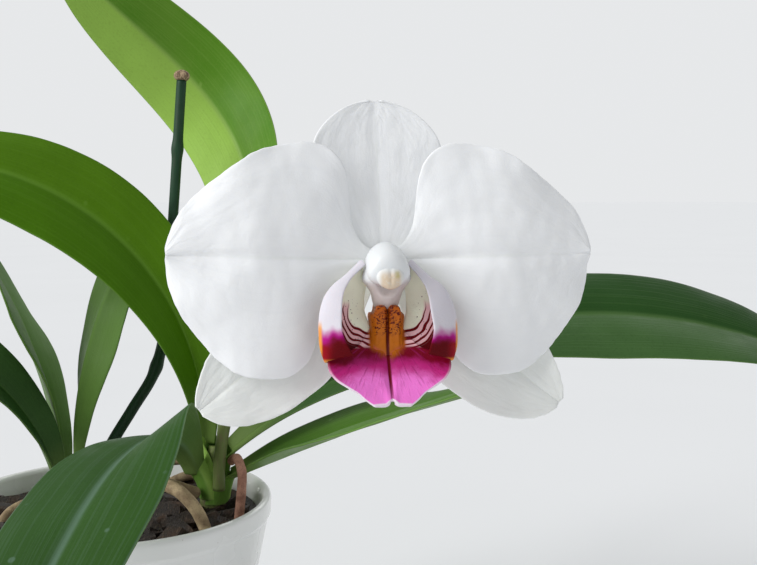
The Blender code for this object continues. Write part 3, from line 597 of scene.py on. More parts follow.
@dataclass(frozen=True)
class DrySkin:
    """The dried, split end of the cut spike."""

    tan: Colour = (0.5, 0.36, 0.22)
    dark: Colour = (0.16, 0.1, 0.06)

    def material(self) -> Material:
        """Return the material."""
        mix = Recipe("dry_spike_end", self.dark)
        fibre = mix.place().stretched(1800.0, 1800.0, 240.0).grain(1.0, 4.0)
        mix.coat(fibre.step(0.4, 0.62), self.tan)
        mix.bump(fibre, 0.5, 0.8)
        return mix.done(Roughness=0.85)


@dataclass(frozen=True)
class FloorFinish:
    """The plain pale floor."""

    colour: Colour = (0.84, 0.85, 0.86)

    def material(self) -> Material:
        """Return the material."""
        mix = Recipe("pale_floor", self.colour)
        mix.coat(mix.place().grain(3.0).step(0.2, 0.8), tinted(self.colour, 0.985))
        return mix.done(Roughness=1.0, Specular_IOR_Level=0.0)


# Meshes


def to_object(bm: BMesh, name: str, materials: Sequence[Material]) -> Object:
    """Turn a bmesh in millimetres into an object in metres.

    Args:
        bm: the bmesh, which is freed.
        name: the object's name.
        materials: its materials, in slot order.

    Returns:
        The object, shaded smooth and linked to the scene.
    """
    bmesh.ops.scale(bm, vec=(MM, MM, MM), verts=bm.verts)
    mesh = bpy.data.meshes.new(name)
    bm.to_mesh(mesh)
    bm.free()
    for material in materials:
        mesh.materials.append(material)
    mesh.shade_smooth()
    made = bpy.data.objects.new(name, mesh)
    bpy.context.scene.collection.objects.link(made)
    return made


def dress(piece: Object, slot: str, *nodes: str) -> None:
    """Let a piece ride on the plant in place of its CAD nodes, and report it.

    Args:
        piece: the finished piece.
        slot: a material slot's name; not used.
        nodes: the CAD nodes that it stands for.
    """
    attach(piece, "root")
    if nodes:
        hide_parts(*nodes)
    stood_for = ", ".join(nodes) or "nothing"
    LOG.info("%s: %d vertices, stands for %s", piece.name, len(piece.data.vertices), stood_for)


@dataclass
class Blade:
    """A thin living blade: a flat grid bent by its shape, thickened and rounded at its margin."""

    name: str
    shape: Shape
    cells: tuple[int, int]
    thickness: float = 0.8
    edge_share: float = 0.75
    margin_power: float = 3.0

    def build(self, front: Material, back: Material | None = None) -> Object:
        """Build the blade.

        Args:
            front: the material of the face that the grid's normal points from, a leaf's underside.
            back: the material of the other face, if it differs.

        Returns:
            The blade's object, with its thickness as modifiers.
        """
        bm = bmesh.new()
        uv = bm.loops.layers.uv.new("UVMap")
        bmesh.ops.create_grid(bm, x_segments=self.cells[1], y_segments=self.cells[0], size=1.0)
        for face in bm.faces:
            for loop in face.loops:
                loop[uv].uv = ((loop.vert.co.x + 1.0) / 2.0, (loop.vert.co.y + 1.0) / 2.0)
        weights = [1.0 - abs(vert.co.x) ** self.margin_power for vert in bm.verts]
        for vert in bm.verts:
            vert.co = Vector(self.shape((vert.co.y + 1.0) / 2.0, vert.co.x))
        blade = to_object(bm, self.name, [front, back] if back else [front])
        group = blade.vertex_groups.new(name="Thick")
        for index, weight in enumerate(weights):
            group.add([index], weight, "REPLACE")
        solidify = blade.modifiers.new("Thickness", "SOLIDIFY")
        solidify.thickness = self.thickness * MM
        solidify.offset = 0.0
        solidify.vertex_group = group.name
        solidify.thickness_vertex_group = self.edge_share
        solidify.material_offset = 1 if back else 0
        rounded = blade.modifiers.new("Rounded margin", "SUBSURF")
        rounded.levels = rounded.render_levels = 1
        return blade


def across_path(path: np.ndarray) -> list[tuple[Vector, Vector, Vector]]:
    """Return each point of a path with two directions across it that don't twist."""
    points = [Vector(point) for point in path]
    ahead = [(b - a).normalized() for a, b in zip(points, points[1:])]
    ahead.append(ahead[-1])
    first = ahead[0].orthogonal().normalized()
    found = []
    for index, point in enumerate(points):
        direction = (ahead[max(0, index - 1)] + ahead[index]).normalized()
        first = (first - direction * first.dot(direction)).normalized()
        found.append((point, first, direction.cross(first)))
    return found


def add_rod(bm: BMesh, path: np.ndarray, radius: Radius, sides: int) -> None:
    """Add a closed round rod: one ring, extruded from point to point.

    Args:
        bm: the bmesh.
        path: the points of the rod's middle line.
        radius: gives the radius at a share of the length and an angle.
        sides: how many vertices a ring has.
    """
    share_layer = bm.verts.layers.float.get("along") or bm.verts.layers.float.new("along")
    ring = bmesh.ops.create_circle(bm, cap_ends=False, segments=sides, radius=1.0)["verts"]
    edges = list({edge for vert in ring for edge in vert.link_edges})
    first_edges = edges
    for index, (centre, right, up) in enumerate(across_path(path)):
        share = index / (len(path) - 1)
        if index:
            grown = bmesh.ops.extrude_edge_only(bm, edges=edges)["geom"]
            edges = [item for item in grown if isinstance(item, bmesh.types.BMEdge)]
            ring = [next(edge.other_vert(vert) for edge in vert.link_edges if edge.other_vert(vert) in grown)
                    for vert in ring]
        for place, vert in enumerate(ring):
            angle = 2.0 * math.pi * place / sides
            vert.co = centre + (right * math.cos(angle) + up * math.sin(angle)) * radius(share, angle)
            vert[share_layer] = share
    bmesh.ops.holes_fill(bm, edges=first_edges + edges, sides=0)


def ball(bm: BMesh, centre: Sequence[float], radii: Sequence[float], rings: int) -> list:
    """Add an ellipsoid to a bmesh and return its vertices."""
    verts = bmesh.ops.create_uvsphere(bm, u_segments=rings * 2, v_segments=rings, radius=1.0)["verts"]
    bmesh.ops.scale(bm, vec=radii, verts=verts)
    bmesh.ops.translate(bm, vec=centre, verts=verts)
    return verts


# The pot and the bark


@dataclass
class Pot:
    """A plain round pot, wider at its banded rim than at its foot."""

    height: float = 113.0
    rim: float = 76.0
    foot: float = 54.0
    wall: float = 4.5
    floor: float = 7.0
    band: float = 9.0
    corner: float = 0.7
    corner_angle: float = 12.0
    steps: int = 144

    def profile(self) -> list[Pair]:
        """Return the section from the middle of the floor, up the inside and down the outside."""
        inner, inner_foot, under_band = self.rim - self.wall, self.foot - self.wall, self.height - self.band
        return [(0.0, self.floor), (inner_foot - 6.0, self.floor), (inner_foot - 1.0, self.floor + 3.0),
                (inner, self.height - 2.0), (inner + 1.2, self.height - 0.4),
                (self.rim - 1.8, self.height), (self.rim - 0.4, self.height - 1.0),
                (self.rim, self.height - 2.6), (self.rim - 0.3, under_band),
                (self.rim - 1.6, under_band - 1.8), (self.foot + 0.6, 3.0),
                (self.foot - 1.6, 0.0), (0.0, 0.0)]

    def build(self) -> None:
        """Turn the section round the pot's axis and soften its corners."""
        bm = bmesh.new()
        points = [bm.verts.new((x, 0.0, z)) for x, z in self.profile()]
        edges = [bm.edges.new(pair) for pair in zip(points, points[1:])]
        bmesh.ops.spin(bm, geom=points + edges, cent=(0.0, 0.0, 0.0), axis=(0.0, 0.0, 1.0),
                       angle=2.0 * math.pi, steps=self.steps, use_merge=True, use_duplicate=False)
        bmesh.ops.remove_doubles(bm, verts=bm.verts, dist=0.001)
        bmesh.ops.recalc_face_normals(bm, faces=bm.faces)
        pot = to_object(bm, "pot_body", [PotGlaze().material()])
        bevel = pot.modifiers.new("Soft corners", "BEVEL")
        bevel.width = self.corner * MM
        bevel.segments = 3
        bevel.limit_method = "ANGLE"
        bevel.angle_limit = math.radians(self.corner_angle)
        dress(pot, "white_glaze", "pot")


@dataclass
class BarkBed:
    """Bark chips over a plug that fills the pot."""

    top: float = 103.0
    low: float = 10.4
    inside: Pair = (48.5, 71.5)
    inside_low: float = 10.0
    inside_height: float = 101.0
    clear: float = 0.6
    count: int = 56
    size: Point = (17.0, 10.5, 7.0)
    margin: float = 12.8
    seed: int = 11
    fine_count: int = 190
    fine_size: Sequence[Pair] = ((4.0, 8.5), (2.6, 5.5), (2.0, 4.2))
    fine_margin: float = 5.6
    fine_seed: int = 5
    turn: float = 137.5
    sharp_from: float = 38.0

    def inner(self, height: float) -> float:
        """Return the radius of the pot's inside at a height."""
        return between(self.inside, (height - self.inside_low) / self.inside_height)

    def spot(self, share: float, angle: float, margin: float, lift: float) -> Matrix:
        """Return a place on the bed, at a share of its area and an angle, up to a margin from the wall."""
        reach = (self.inner(self.top) - margin) * math.sqrt(share)
        return Matrix.Translation((reach * math.cos(angle), reach * math.sin(angle), self.top + lift))

    @staticmethod
    def block(draw: random.Random, spread: float) -> BMesh:
        """Return a one millimetre cube whose corners are drawn off by up to a spread."""
        block = bmesh.new()
        bmesh.ops.create_cube(block, size=1.0)
        for vert in block.verts:
            vert.co += Vector([draw.uniform(-spread, spread) for _ in range(3)])
        return block

    @staticmethod
    def roughen(chip: BMesh, size: Sequence[float], seed: float) -> None:
        """Scale a block to its size and give it broken, layered faces."""
        bmesh.ops.subdivide_edges(chip, edges=chip.edges, cuts=2, use_grid_fill=True)
        bmesh.ops.smooth_vert(chip, verts=chip.verts, factor=0.28, use_axis_x=True, use_axis_y=True,
                              use_axis_z=True)
        bmesh.ops.scale(chip, vec=size, verts=chip.verts)
        for vert in chip.verts:
            vert.co += vert.co.normalized() * 0.07 * min(size) * rough(vert.co, 2.2, seed)

    def chip(self, draw: random.Random, index: int) -> BMesh:
        """Return one large chip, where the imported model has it."""
        chip = self.block(draw, 0.16)
        size = [length * draw.uniform(0.75, 1.2) for length in self.size]
        turn = Matrix.Rotation(draw.uniform(0.0, math.pi), 4, "Z")
        turn @= Matrix.Rotation(draw.uniform(-0.5, 0.5), 4, "X")
        turn @= Matrix.Rotation(draw.uniform(-0.4, 0.4), 4, "Y")
        angle = index * math.radians(self.turn)
        self.roughen(chip, size, index)
        place = self.spot((index + 0.5) / self.count, angle, self.margin, draw.uniform(-1.8, 1.6))
        bmesh.ops.transform(chip, matrix=place @ turn, verts=chip.verts)
        return chip

    def fine_chip(self, draw: random.Random, index: int) -> BMesh:
        """Return one small chip for the gaps and the edge by the pot's wall."""
        chip = self.block(draw, 0.22)
        size = [draw.uniform(*limits) for limits in self.fine_size]
        angle = index * math.radians(self.turn) + draw.uniform(-0.3, 0.3)
        turn = Euler((draw.uniform(-0.7, 0.7), draw.uniform(-0.6, 0.6), draw.uniform(0.0, math.pi)))
        self.roughen(chip, size, index + 0.37)
        place = self.spot((index + 0.5) / self.fine_count, angle, self.fine_margin, draw.uniform(-0.6, 2.4))
        bmesh.ops.transform(chip, matrix=place @ turn.to_matrix().to_4x4(), verts=chip.verts)
        return chip

    def build(self) -> None:
        """Build the plug and its chips as one piece."""
        bm = bmesh.new()
        bmesh.ops.create_cone(bm, cap_ends=True, segments=72, radius1=self.inner(self.low) - self.clear,
                              radius2=self.inner(self.top) - self.clear, depth=self.top - self.low)
        bmesh.ops.translate(bm, vec=(0.0, 0.0, (self.low + self.top) / 2.0), verts=bm.verts)
        kinds = ((self.chip, self.count, self.seed), (self.fine_chip, self.fine_count, self.fine_seed))
        part = bpy.data.meshes.new("part")
        for make, count, seed in kinds:
            draw = random.Random(seed)
            for index in range(count):
                chip = make(draw, index)
                chip.to_mesh(part)
                chip.free()
                bm.from_mesh(part)
        bpy.data.meshes.remove(part)
        bmesh.ops.recalc_face_normals(bm, faces=bm.faces)
        bed = to_object(bm, "bark_bed", [BarkSkin().material()])
        bed.data.set_sharp_from_angle(angle=math.radians(self.sharp_from))
        dress(bed, "bark", "growing_medium")


# Stems, roots and spikes


@dataclass
class Stalk:
    """A round stalk that stands for one node: so many rings along its path, of so many sides."""

    node: str
    path: Sequence[Point]
    slot: ClassVar[str] = "spike_green"
    rows: ClassVar[int] = 90
    sides: ClassVar[int] = 18

    @cached_property
    def points(self) -> np.ndarray:
        """Return the middle line, one row for each ring."""
        return smooth_curve(self.path, self.rows)

    def radius(self, share: float, angle: float) -> float:
        """Return the radius at a share of the length and an angle."""
        raise NotImplementedError

    def grow(self, skin: Material) -> None:
        """Build the stalk itself."""
        bm = bmesh.new()
        add_rod(bm, self.points, self.radius, self.sides)
        bmesh.ops.recalc_face_normals(bm, faces=bm.faces)
        dress(to_object(bm, self.node + "_body", [skin]), self.slot, self.node)


@dataclass
class Stem(Stalk):
    """A short leafy stem, ringed by the scars of old leaves."""

    radii: Sequence[float]
    slot: ClassVar[str] = "stem_green"
    rows: ClassVar[int] = 64
    sides: ClassVar[int] = 28
    scars: ClassVar[float] = 7.3

    def centre(self, height: float) -> Vector:
        """Return the stem's middle at a height."""
        points = smooth_curve(self.path, 60)
        return Vector([float(np.interp(height, points[:, 2], points[:, axis])) for axis in range(3)])

    def radius_at(self, height: float) -> float:
        """Return the stem's plain radius at a height."""
        heights = [point[2] for point in smooth_curve(self.path, len(self.radii))]
        return float(np.interp(height, heights, self.radii))

    def radius(self, share: float, angle: float) -> float:
        """Return the radius, with its scars and lumps."""
        phase = 2.0 * math.pi * self.scars * share + 0.25 * math.sin(angle)
        lump = 0.22 * rough((3.0 * math.cos(angle), 3.0 * math.sin(angle), 14.0 * share), 1.6, 2.0)
        return along(self.radii, share) + 0.4 * max(0.0, math.cos(phase)) ** 6 + lump


@dataclass
class Root(Stalk):
    """An aerial root that leaves a stem and goes down into the bark, lumpy and rounded at its tip."""

    ends: Pair
    slot: ClassVar[str] = "root_tan"
    rows: ClassVar[int] = 84
    sides: ClassVar[int] = 16

    def radius(self, share: float, angle: float) -> float:
        """Return the radius, with its lumps and its rounded ends."""
        seed = len(self.node) + self.ends[0]
        lump = 0.16 * rough((math.cos(angle), math.sin(angle), 11.0 * share), 0.8, seed)
        lump += 0.1 * rough((2.0, seed, 26.0 * share), 1.0, seed)
        tip = dome((share - 0.955) / 0.045, 0.02) * dome((0.03 - share) / 0.03, 0.1)
        return (between(self.ends, share) + lump) * tip


@dataclass
class Spike(Stalk):
    """The living flower spike with its nodes, bracts and end buds."""

    node: str = "flower_spike"
    path: Sequence[Point] = ((50.6, 3.2, 115), (51.4, 1.6, 130), (54.6, -3.6, 147), (66, -22, 182),
                             (86, -62, 223), (106, -112, 255), (120, -158, 271), (127, -188, 272),
                             (131, -204, 266), (133, -212, 259))
    ends: Pair = (3.0, 1.5)
    nodes: Sequence[float] = (0.16, 0.36, 0.55, 0.72, 0.86, 0.95)
    node_reach: float = 1.0 / 70.0
    swell: float = 0.8
    bract_length: float = 9.0
    bract_width: float = 6.4
    buds: Sequence[tuple[Point, float]] = (((0.6, -0.6, -1.2), 2.9), ((-1.2, 2.4, -3.2), 2.2))
    rows: ClassVar[int] = 190

    def radius(self, share: float, angle: float) -> float:
        """Return the radius, swollen at each node and faintly ribbed."""
        nodes = sum(bell(share - node, self.node_reach) for node in self.nodes)
        return between(self.ends, share) + self.swell * nodes + 0.05 * math.cos(5.0 * angle)

    def bract(self, node: float, flip: float, s: float, t: float) -> Vector:
        """Return a point of one bract: a pointed scale that hugs the spike at a node."""
        ahead = Vector(along(self.points, node + 0.02) - along(self.points, node - 0.02)).normalized()
        side = ahead.cross(Vector((0.0, 0.0, 1.0))).normalized() * flip
        out = side.cross(ahead).normalized()
        radius = self.radius(node, 0.0)
        reach = 0.5 * self.bract_width * (1.0 - s**1.6) + 0.2
        angle = t * reach / (radius + 0.5)
        lift = radius - 0.4 + 1.9 * s + 0.15 * math.cos(3.0 * math.pi * t)
        around = out * math.cos(angle) + side * math.sin(angle)
        return Vector(along(self.points, node)) + ahead * (self.bract_length * s - 2.0) + around * lift

    def build(self) -> None:
        """Build the spike, its bracts and its buds."""
        self.grow(StalkSkin("spike_skin", (0.15, 0.2, 0.06), (0.2, 0.3, 0.09), (0.2, 0.14, 0.1)).material())
        dry = StalkSkin("bract_skin", (0.24, 0.24, 0.1), (0.3, 0.26, 0.14), (0.34, 0.24, 0.14), 0.6)
        scale = dry.material()
        for index, node in enumerate(self.nodes[:-1]):
            shape = partial(self.bract, node, 1.0 if index % 2 else -1.0)
            dress(Blade(f"bract_{index}", shape, (12, 10), 0.9, 0.6, 1.5).build(scale), self.slot)
        bm = bmesh.new()
        for offset, size in self.buds:
            centre = Vector(self.points[-1]) + Vector(offset)
            for vert in ball(bm, centre, (0.85 * size, 0.85 * size, 1.3 * size), 12):
                out = vert.co - centre
                seam = 1.0 - 0.07 * abs(math.cos(1.5 * math.atan2(out.y, out.x))) ** 8
                vert.co = centre + Vector((out.x * seam, out.y * seam, out.z))
        bud = StalkSkin("bud_skin", (0.28, 0.36, 0.14), (0.34, 0.4, 0.2), (0.4, 0.32, 0.22))
        dress(to_object(bm, "end_buds", [bud.material()]), self.slot)


@dataclass
class DryEnd(Stalk):
    """The swollen, puckered collar at the cut spike's dried end, along a straight line."""

    size: float = 4.1
    swell: Sequence[float] = (0.76, 0.94, 1.0, 0.98, 0.93, 0.72, 0.3)
    slot: ClassVar[str] = "dry_end"
    rows: ClassVar[int] = 14
    sides: ClassVar[int] = 28

    @cached_property
    def points(self) -> np.ndarray:
        """Return even steps from the path's start to its end."""
        return np.linspace(*self.path, self.rows)

    def radius(self, share: float, angle: float) -> float:
        """Return the collar's radius."""
        pucker = 1.0 - 0.1 * abs(math.sin(3.5 * angle)) ** 3 - 0.04 * rough((angle, share, 2.0), 0.4)
        return self.size * along(self.swell, share) * pucker


@dataclass
class CutSpike(Stalk):
    """The old spike, cut short: a dark stalk with ringed nodes and a dried, frayed end."""

    node: str = "cut_spike"
    path: Sequence[Point] = ((-15.35, 18.3, 111), (-8, 25, 130), (3, 30, 149), (13, 34, 166), (18.6, 36, 186),
                             (23.8, 38, 248), (28.6, 40, 315))
    size: float = 2.9
    taper: float = 0.16
    nodes: Sequence[float] = (0.32, 0.6, 0.84)
    node_reach: float = 1.0 / 60.0
    end_height: float = 5.0
    gap: float = 0.3
    slot: ClassVar[str] = "dark_spike"
    rows: ClassVar[int] = 150

    def radius(self, share: float, angle: float) -> float:
        """Return the radius, ringed at each node and shrunk in four furrows."""
        ring = sum(bell(share - node, self.node_reach) for node in self.nodes)
        shrink = 0.09 * math.cos(4.0 * angle + 9.0 * share)
        return self.size * (1.0 - self.taper * share) + 0.6 * ring + shrink

    def build(self) -> None:
        """Build the stalk and its end."""
        self.grow(StalkSkin("cut_spike_skin", (0.012, 0.045, 0.018), (0.014, 0.055, 0.024),
                            (0.04, 0.045, 0.03), 0.5).material())
        ahead = Vector(self.points[-1] - self.points[-2]).normalized()
        start = Vector(self.points[-1]) + ahead * self.gap
        end = DryEnd("cut_spike_end", (start, start + ahead * self.end_height))
        end.grow(DrySkin().material())


# Leaves


@dataclass
class StrapLeaf:
    """One strap leaf: where it starts, where it heads and how it arches, in millimetres and degrees."""

    node: str
    base: Point
    heading: Pair
    rise: Pair
    length: float
    width: float
    roll: Pair
    tone: LeafTone
    bend: float = 1.0
    wave_start: float = 0.0
    base_share: float = 0.21
    widest_at: float = 0.58
    folds: Pair = (38.0, 13.0)
    curl: float = 0.006
    wave: float = 0.9
    waves: float = 2.2
    sheath_height: float = 13.0
    sheath_half_turn: float = 104.0
    steps: int = 80

    def half_width(self, share: float) -> float:
        """Return the half width at a share of the length."""
        if share < self.widest_at:
            grown = soft(share / self.widest_at) ** 0.65
            return 0.5 * self.width * between((self.base_share, 1.0), grown)
        rest = (share - self.widest_at) / (1.0 - self.widest_at)
        return 0.5 * self.width * math.sqrt(max(0.0, 1.0 - rest**2.3))

    @cached_property
    def spine(self) -> np.ndarray:
        """Return the midrib's places, sides and ups, nine numbers to a row."""
        steps = np.linspace(0.0, 1.0, self.steps + 1)
        heading = np.radians(between(self.heading, steps))
        rise = np.radians(between(self.rise, steps**self.bend))
        level = np.cos(rise)
        ahead = np.stack([level * np.cos(heading), level * np.sin(heading), np.sin(rise)], axis=1)
        side = np.stack([-np.sin(heading), np.cos(heading), 0.0 * heading], axis=1)
        moves = (ahead[1:] + ahead[:-1]) * 0.5 * self.length / self.steps
        path = np.array(self.base) + np.concatenate([[(0.0, 0.0, 0.0)], np.cumsum(moves, axis=0)])
        return np.concatenate([path, side, np.cross(ahead, side)], axis=1)

    def blade(self, s: float, t: float) -> Vector:
        """Return a point of the blade: folded up along its midrib, waved and lightly ribbed."""
        s = min(1.0 - (1.0 - s) ** 1.35, 0.9992)
        row = along(self.spine, s)
        roll = math.radians(between(self.roll, s))
        fold = math.radians(between(self.folds, min(1.0, s * 1.6)))
        side, up = Vector(row[3:6]), Vector(row[6:9])
        across = side * math.cos(roll) + up * math.sin(roll)
        above = up * math.cos(roll) - side * math.sin(roll)
        reach = self.half_width(s) * t
        phase = 2.0 * math.pi * self.waves * s + self.wave_start + t
        lift = (math.hypot(reach, 1.1) - 1.1) * math.sin(fold) - self.curl * reach * reach * soft(s * 2.0)
        lift += self.wave * t * t * math.sin(phase) * soft(3.0 * s)
        lift -= 0.55 * bell(reach, 1.5) * soft(6.0 * (1.0 - s)) * soft(5.0 * s)
        place = Vector(row[0:3]) + across * reach * math.cos(fold)
        uneven = 0.32 * rough(place, 17.0, self.wave_start) + 0.12 * rough(place, 6.0, 3.0)
        return place + above * (lift + uneven * soft(4.0 * s))

    def sheath(self, stem: Stem, s: float, t: float) -> Vector:
        """Return a point of the sheath that carries the blade's base round its stem."""
        height = self.base[2] - self.sheath_height * (1.0 - s)
        radius = stem.radius_at(height) + 0.5 + 0.5 * s
        angle = math.radians(self.heading[0]) + t * math.radians(self.sheath_half_turn)
        clasp = stem.centre(height) + Vector((math.cos(angle), math.sin(angle), 0.0)) * radius
        clasp.z = height + 2.0 * math.cos(math.pi * t) * s
        return clasp.lerp(self.blade(0.015, t), soft(s * 1.1 - 0.1))

    def build(self, stem: Stem, skins: "LeafSkins") -> None:
        """Build the blade and its sheath."""
        upper, under = skins.pair(self.tone)
        blade = Blade(self.node + "_blade", self.blade, (78, 22), 2.4, 0.4, 1.5)
        dress(blade.build(under, upper), "leaf_green", self.node)
        sheath = Blade(self.node + "_sheath", partial(self.sheath, stem), (12, 18), 1.1, 0.5, 1.5)
        # The sheaths take SUNLIT's under finish, with its painted glow of light on one half.
        dress(sheath.build(skins.pair(LeafTone.SUNLIT)[1]), "leaf_green")


class LeafSkins:
    """The leaf materials, made once for each tone."""

    def __init__(self) -> None:
        """Start with none made."""
        self.made: dict[LeafTone, tuple[Material, Material]] = {}

    def pair(self, tone: LeafTone) -> tuple[Material, Material]:
        """Return the upper and the under material of a tone."""
        if tone not in self.made:
            self.made[tone] = (LeafSkin(tone).material(), LeafSkin(tone, False).material())
        return self.made[tone]


# The bloom


@dataclass
class TwoEdged:
    """A petal or sepal between two outlines that share a middle line, mirrored when side is -1."""

    upper: Sequence[Pair]
    lower: Sequence[Pair]
    depth: Callable[[float, float], float]
    side: float
    seed: float

    @cached_property
    def edges(self) -> tuple[np.ndarray, np.ndarray]:
        """Return the upper and the lower outline, row by row."""
        return smooth_curve(self.upper, OUTLINE_ROWS), smooth_curve(self.lower, OUTLINE_ROWS)

    def shape(self, s: float, t: float) -> Vector:
        """Return a point of the blade in the plant's frame."""
        top, bottom = self.edges
        middle = between((0.5 * (top[0] + bottom[0]), 0.5 * (top[-1] + bottom[-1])), s)
        edge = along(top if t > 0 else bottom, s)
        u, v = middle + (edge - middle) * abs(t)
        fan = math.sin(26.0 * t + 2.0 * self.seed + 1.5 * rough((u, v, 0.0), 9.0, self.seed))
        vein = 0.03 * fan * soft(3.0 * s) * soft(3.0 * (1.0 - s))
        uneven = 0.42 * rough((u, v, 0.0), 8.5, self.seed) + 0.16 * rough((u, 0.7 * v, 0.0), 3.2, self.seed)
        notch = 0.22 * abs(t) ** 20 * rough((0.0, self.side, 150.0 * s), 1.6, self.seed)
        edge_wave = 0.35 * abs(t) ** 6 * rough((0.0, self.side, 60.0 * s), 3.6, self.seed)
        w = self.depth(s, t) + vein + (uneven + edge_wave) * soft(3.0 * s)
        return BloomPlace.at(self.side * (u - notch), v - notch * math.copysign(1.0, t), w)


@dataclass
class Bloom:
    """The open bloom: three sepals, two petals, the lip and the column."""

    petal_upper: Sequence[Pair] = ((1.2, 2.4), (4.5, 4.2), (7.3, 8.7), (8.1, 14.4), (8.5, 19.2), (9.9, 23.8),
                                   (13.2, 27.2), (17.5, 28.5), (23, 28), (29, 26.5), (36, 22.3), (43, 17.2),
                                   (48, 11.9), (50.4, 6.6), (51.2, 3.4))
    petal_lower: Sequence[Pair] = ((1.2, -1.4), (5.3, -1), (10.7, -8.5), (15.5, -16.4), (18.5, -24),
                                   (22.5, -26.9), (28, -27.4), (34.5, -26.2), (39.5, -22.7), (44.5, -17),
                                   (48.8, -10.5), (50.9, -4.3), (51.3, 0.6))
    lateral_upper: Sequence[Pair] = ((3.9, -0.6), (15, -1.5), (28, -7), (36.8, -14.5), (41.6, -21.7),
                                     (43.9, -27.5), (44.8, -31.8), (44.7, -34))
    lateral_lower: Sequence[Pair] = ((1.4, -3.8), (4.6, -12), (8.4, -21), (13, -28.2), (18, -32.3),
                                     (22.9, -35.6), (28.6, -37.9), (34.5, -38.8), (39.9, -37.9), (43.2, -36))
    dorsal: Sequence[Pair] = ((1.4, 3), (8, 8.1), (15, 12.8), (22, 15.6), (27, 15.9), (31, 14.6),
                              (34.5, 11.8), (37.2, 8.2), (38.8, 4.4), (39.3, 1.6))
    dorsal_turn: float = -0.03
    sepal_depth: float = -3.6
    base_depth: float = -2.4

    def petal_depth(self, s: float, t: float) -> float:
        """Return how far a petal stands forward: a soft swell, a midrib crease and a waved margin."""
        swell = 5.4 * soft(s / 0.62) - 4.4 * soft((s - 0.45) / 0.6)
        crease = -1.1 * bell(t, 0.07) * soft(4.0 * s) * (1.0 - 0.5 * s)
        wave = 0.8 * abs(t) ** 4 * math.sin(19.0 * s + 2.0 * t) * soft(2.5 * s)
        roll_back = -(1.6 * abs(t) ** 3 + 2.2 * max(0.0, -t)) * soft(1.6 * s)
        return self.base_depth + swell + crease + wave + roll_back

    def lateral_depth(self, s: float, t: float) -> float:
        """Return how far a lateral sepal stands forward, always behind the petals."""
        cup = 0.9 * t * t * soft(2.0 * s)
        crease = -0.4 * bell(t, 0.08) * soft(3.0 * s)
        return self.sepal_depth - 2.8 * soft(s / 0.5) + 1.6 * soft((s - 0.5) * 2.0) + cup + crease

    @cached_property
    def stations(self) -> np.ndarray:
        """Return the dorsal sepal's heights and half widths."""
        return smooth_curve(self.dorsal, OUTLINE_ROWS)

    def dorsal_shape(self, s: float, t: float) -> Vector:
        """Return a point of the dorsal sepal."""
        v, half = along(self.stations, s)
        u = self.dorsal_turn * v + half * t
        margin = 1.0 * t * t * s + 0.35 * math.sin(9.0 * s + 2.0) * abs(t) ** 3
        crease = 1.6 * bell(t, 0.14) * s * (1.0 - s)
        uneven = 0.25 * rough((u, v, 0.0), 8.0, 4.0) + 0.08 * rough((u, v, 0.0), 2.6, 2.0)
        vein = 0.025 * math.sin(24.0 * t + 1.5 * rough((u, v, 0.0), 9.0)) * soft(3.0 * s)
        w = self.sepal_depth - 2.2 * math.sin(0.5 * math.pi * s) + margin - crease + vein
        return BloomPlace.at(u, v, w + uneven * soft(3.0 * s))

    def build(self) -> None:
        """Build the sepals and petals, then the lip and the column."""
        petal_skin = PetalSkin("petal_white", (0.91, 0.92, 0.935), (0.72, 0.75, 0.8), (0.8, 0.83, 0.78))
        sepal_skin = PetalSkin("sepal_white", (0.89, 0.91, 0.88), (0.68, 0.73, 0.7), (0.7, 0.77, 0.56), 0.2)
        white, shade = petal_skin.material(), sepal_skin.material()
        dorsal = Blade("dorsal_sepal_blade", self.dorsal_shape, (64, 44))
        dress(dorsal.build(white), "petal_white", "dorsal_sepal")
        for name, side, seed in (("left", -1.0, 1.3), ("right", 1.0, 5.1)):
            lateral = TwoEdged(self.lateral_upper, self.lateral_lower, self.lateral_depth, side, seed)
            blade = Blade(f"lateral_sepal_{name}_blade", lateral.shape, (64, 40))
            dress(blade.build(shade), "petal_white", "lateral_sepal_" + name)
            petal = TwoEdged(self.petal_upper, self.petal_lower, self.petal_depth, side, seed + 2.0)
            blade = Blade(f"petal_{name}_blade", petal.shape, (84, 64))
            dress(blade.build(white), "petal_white", "petal_" + name)
        Lip().build()
        Column().build()


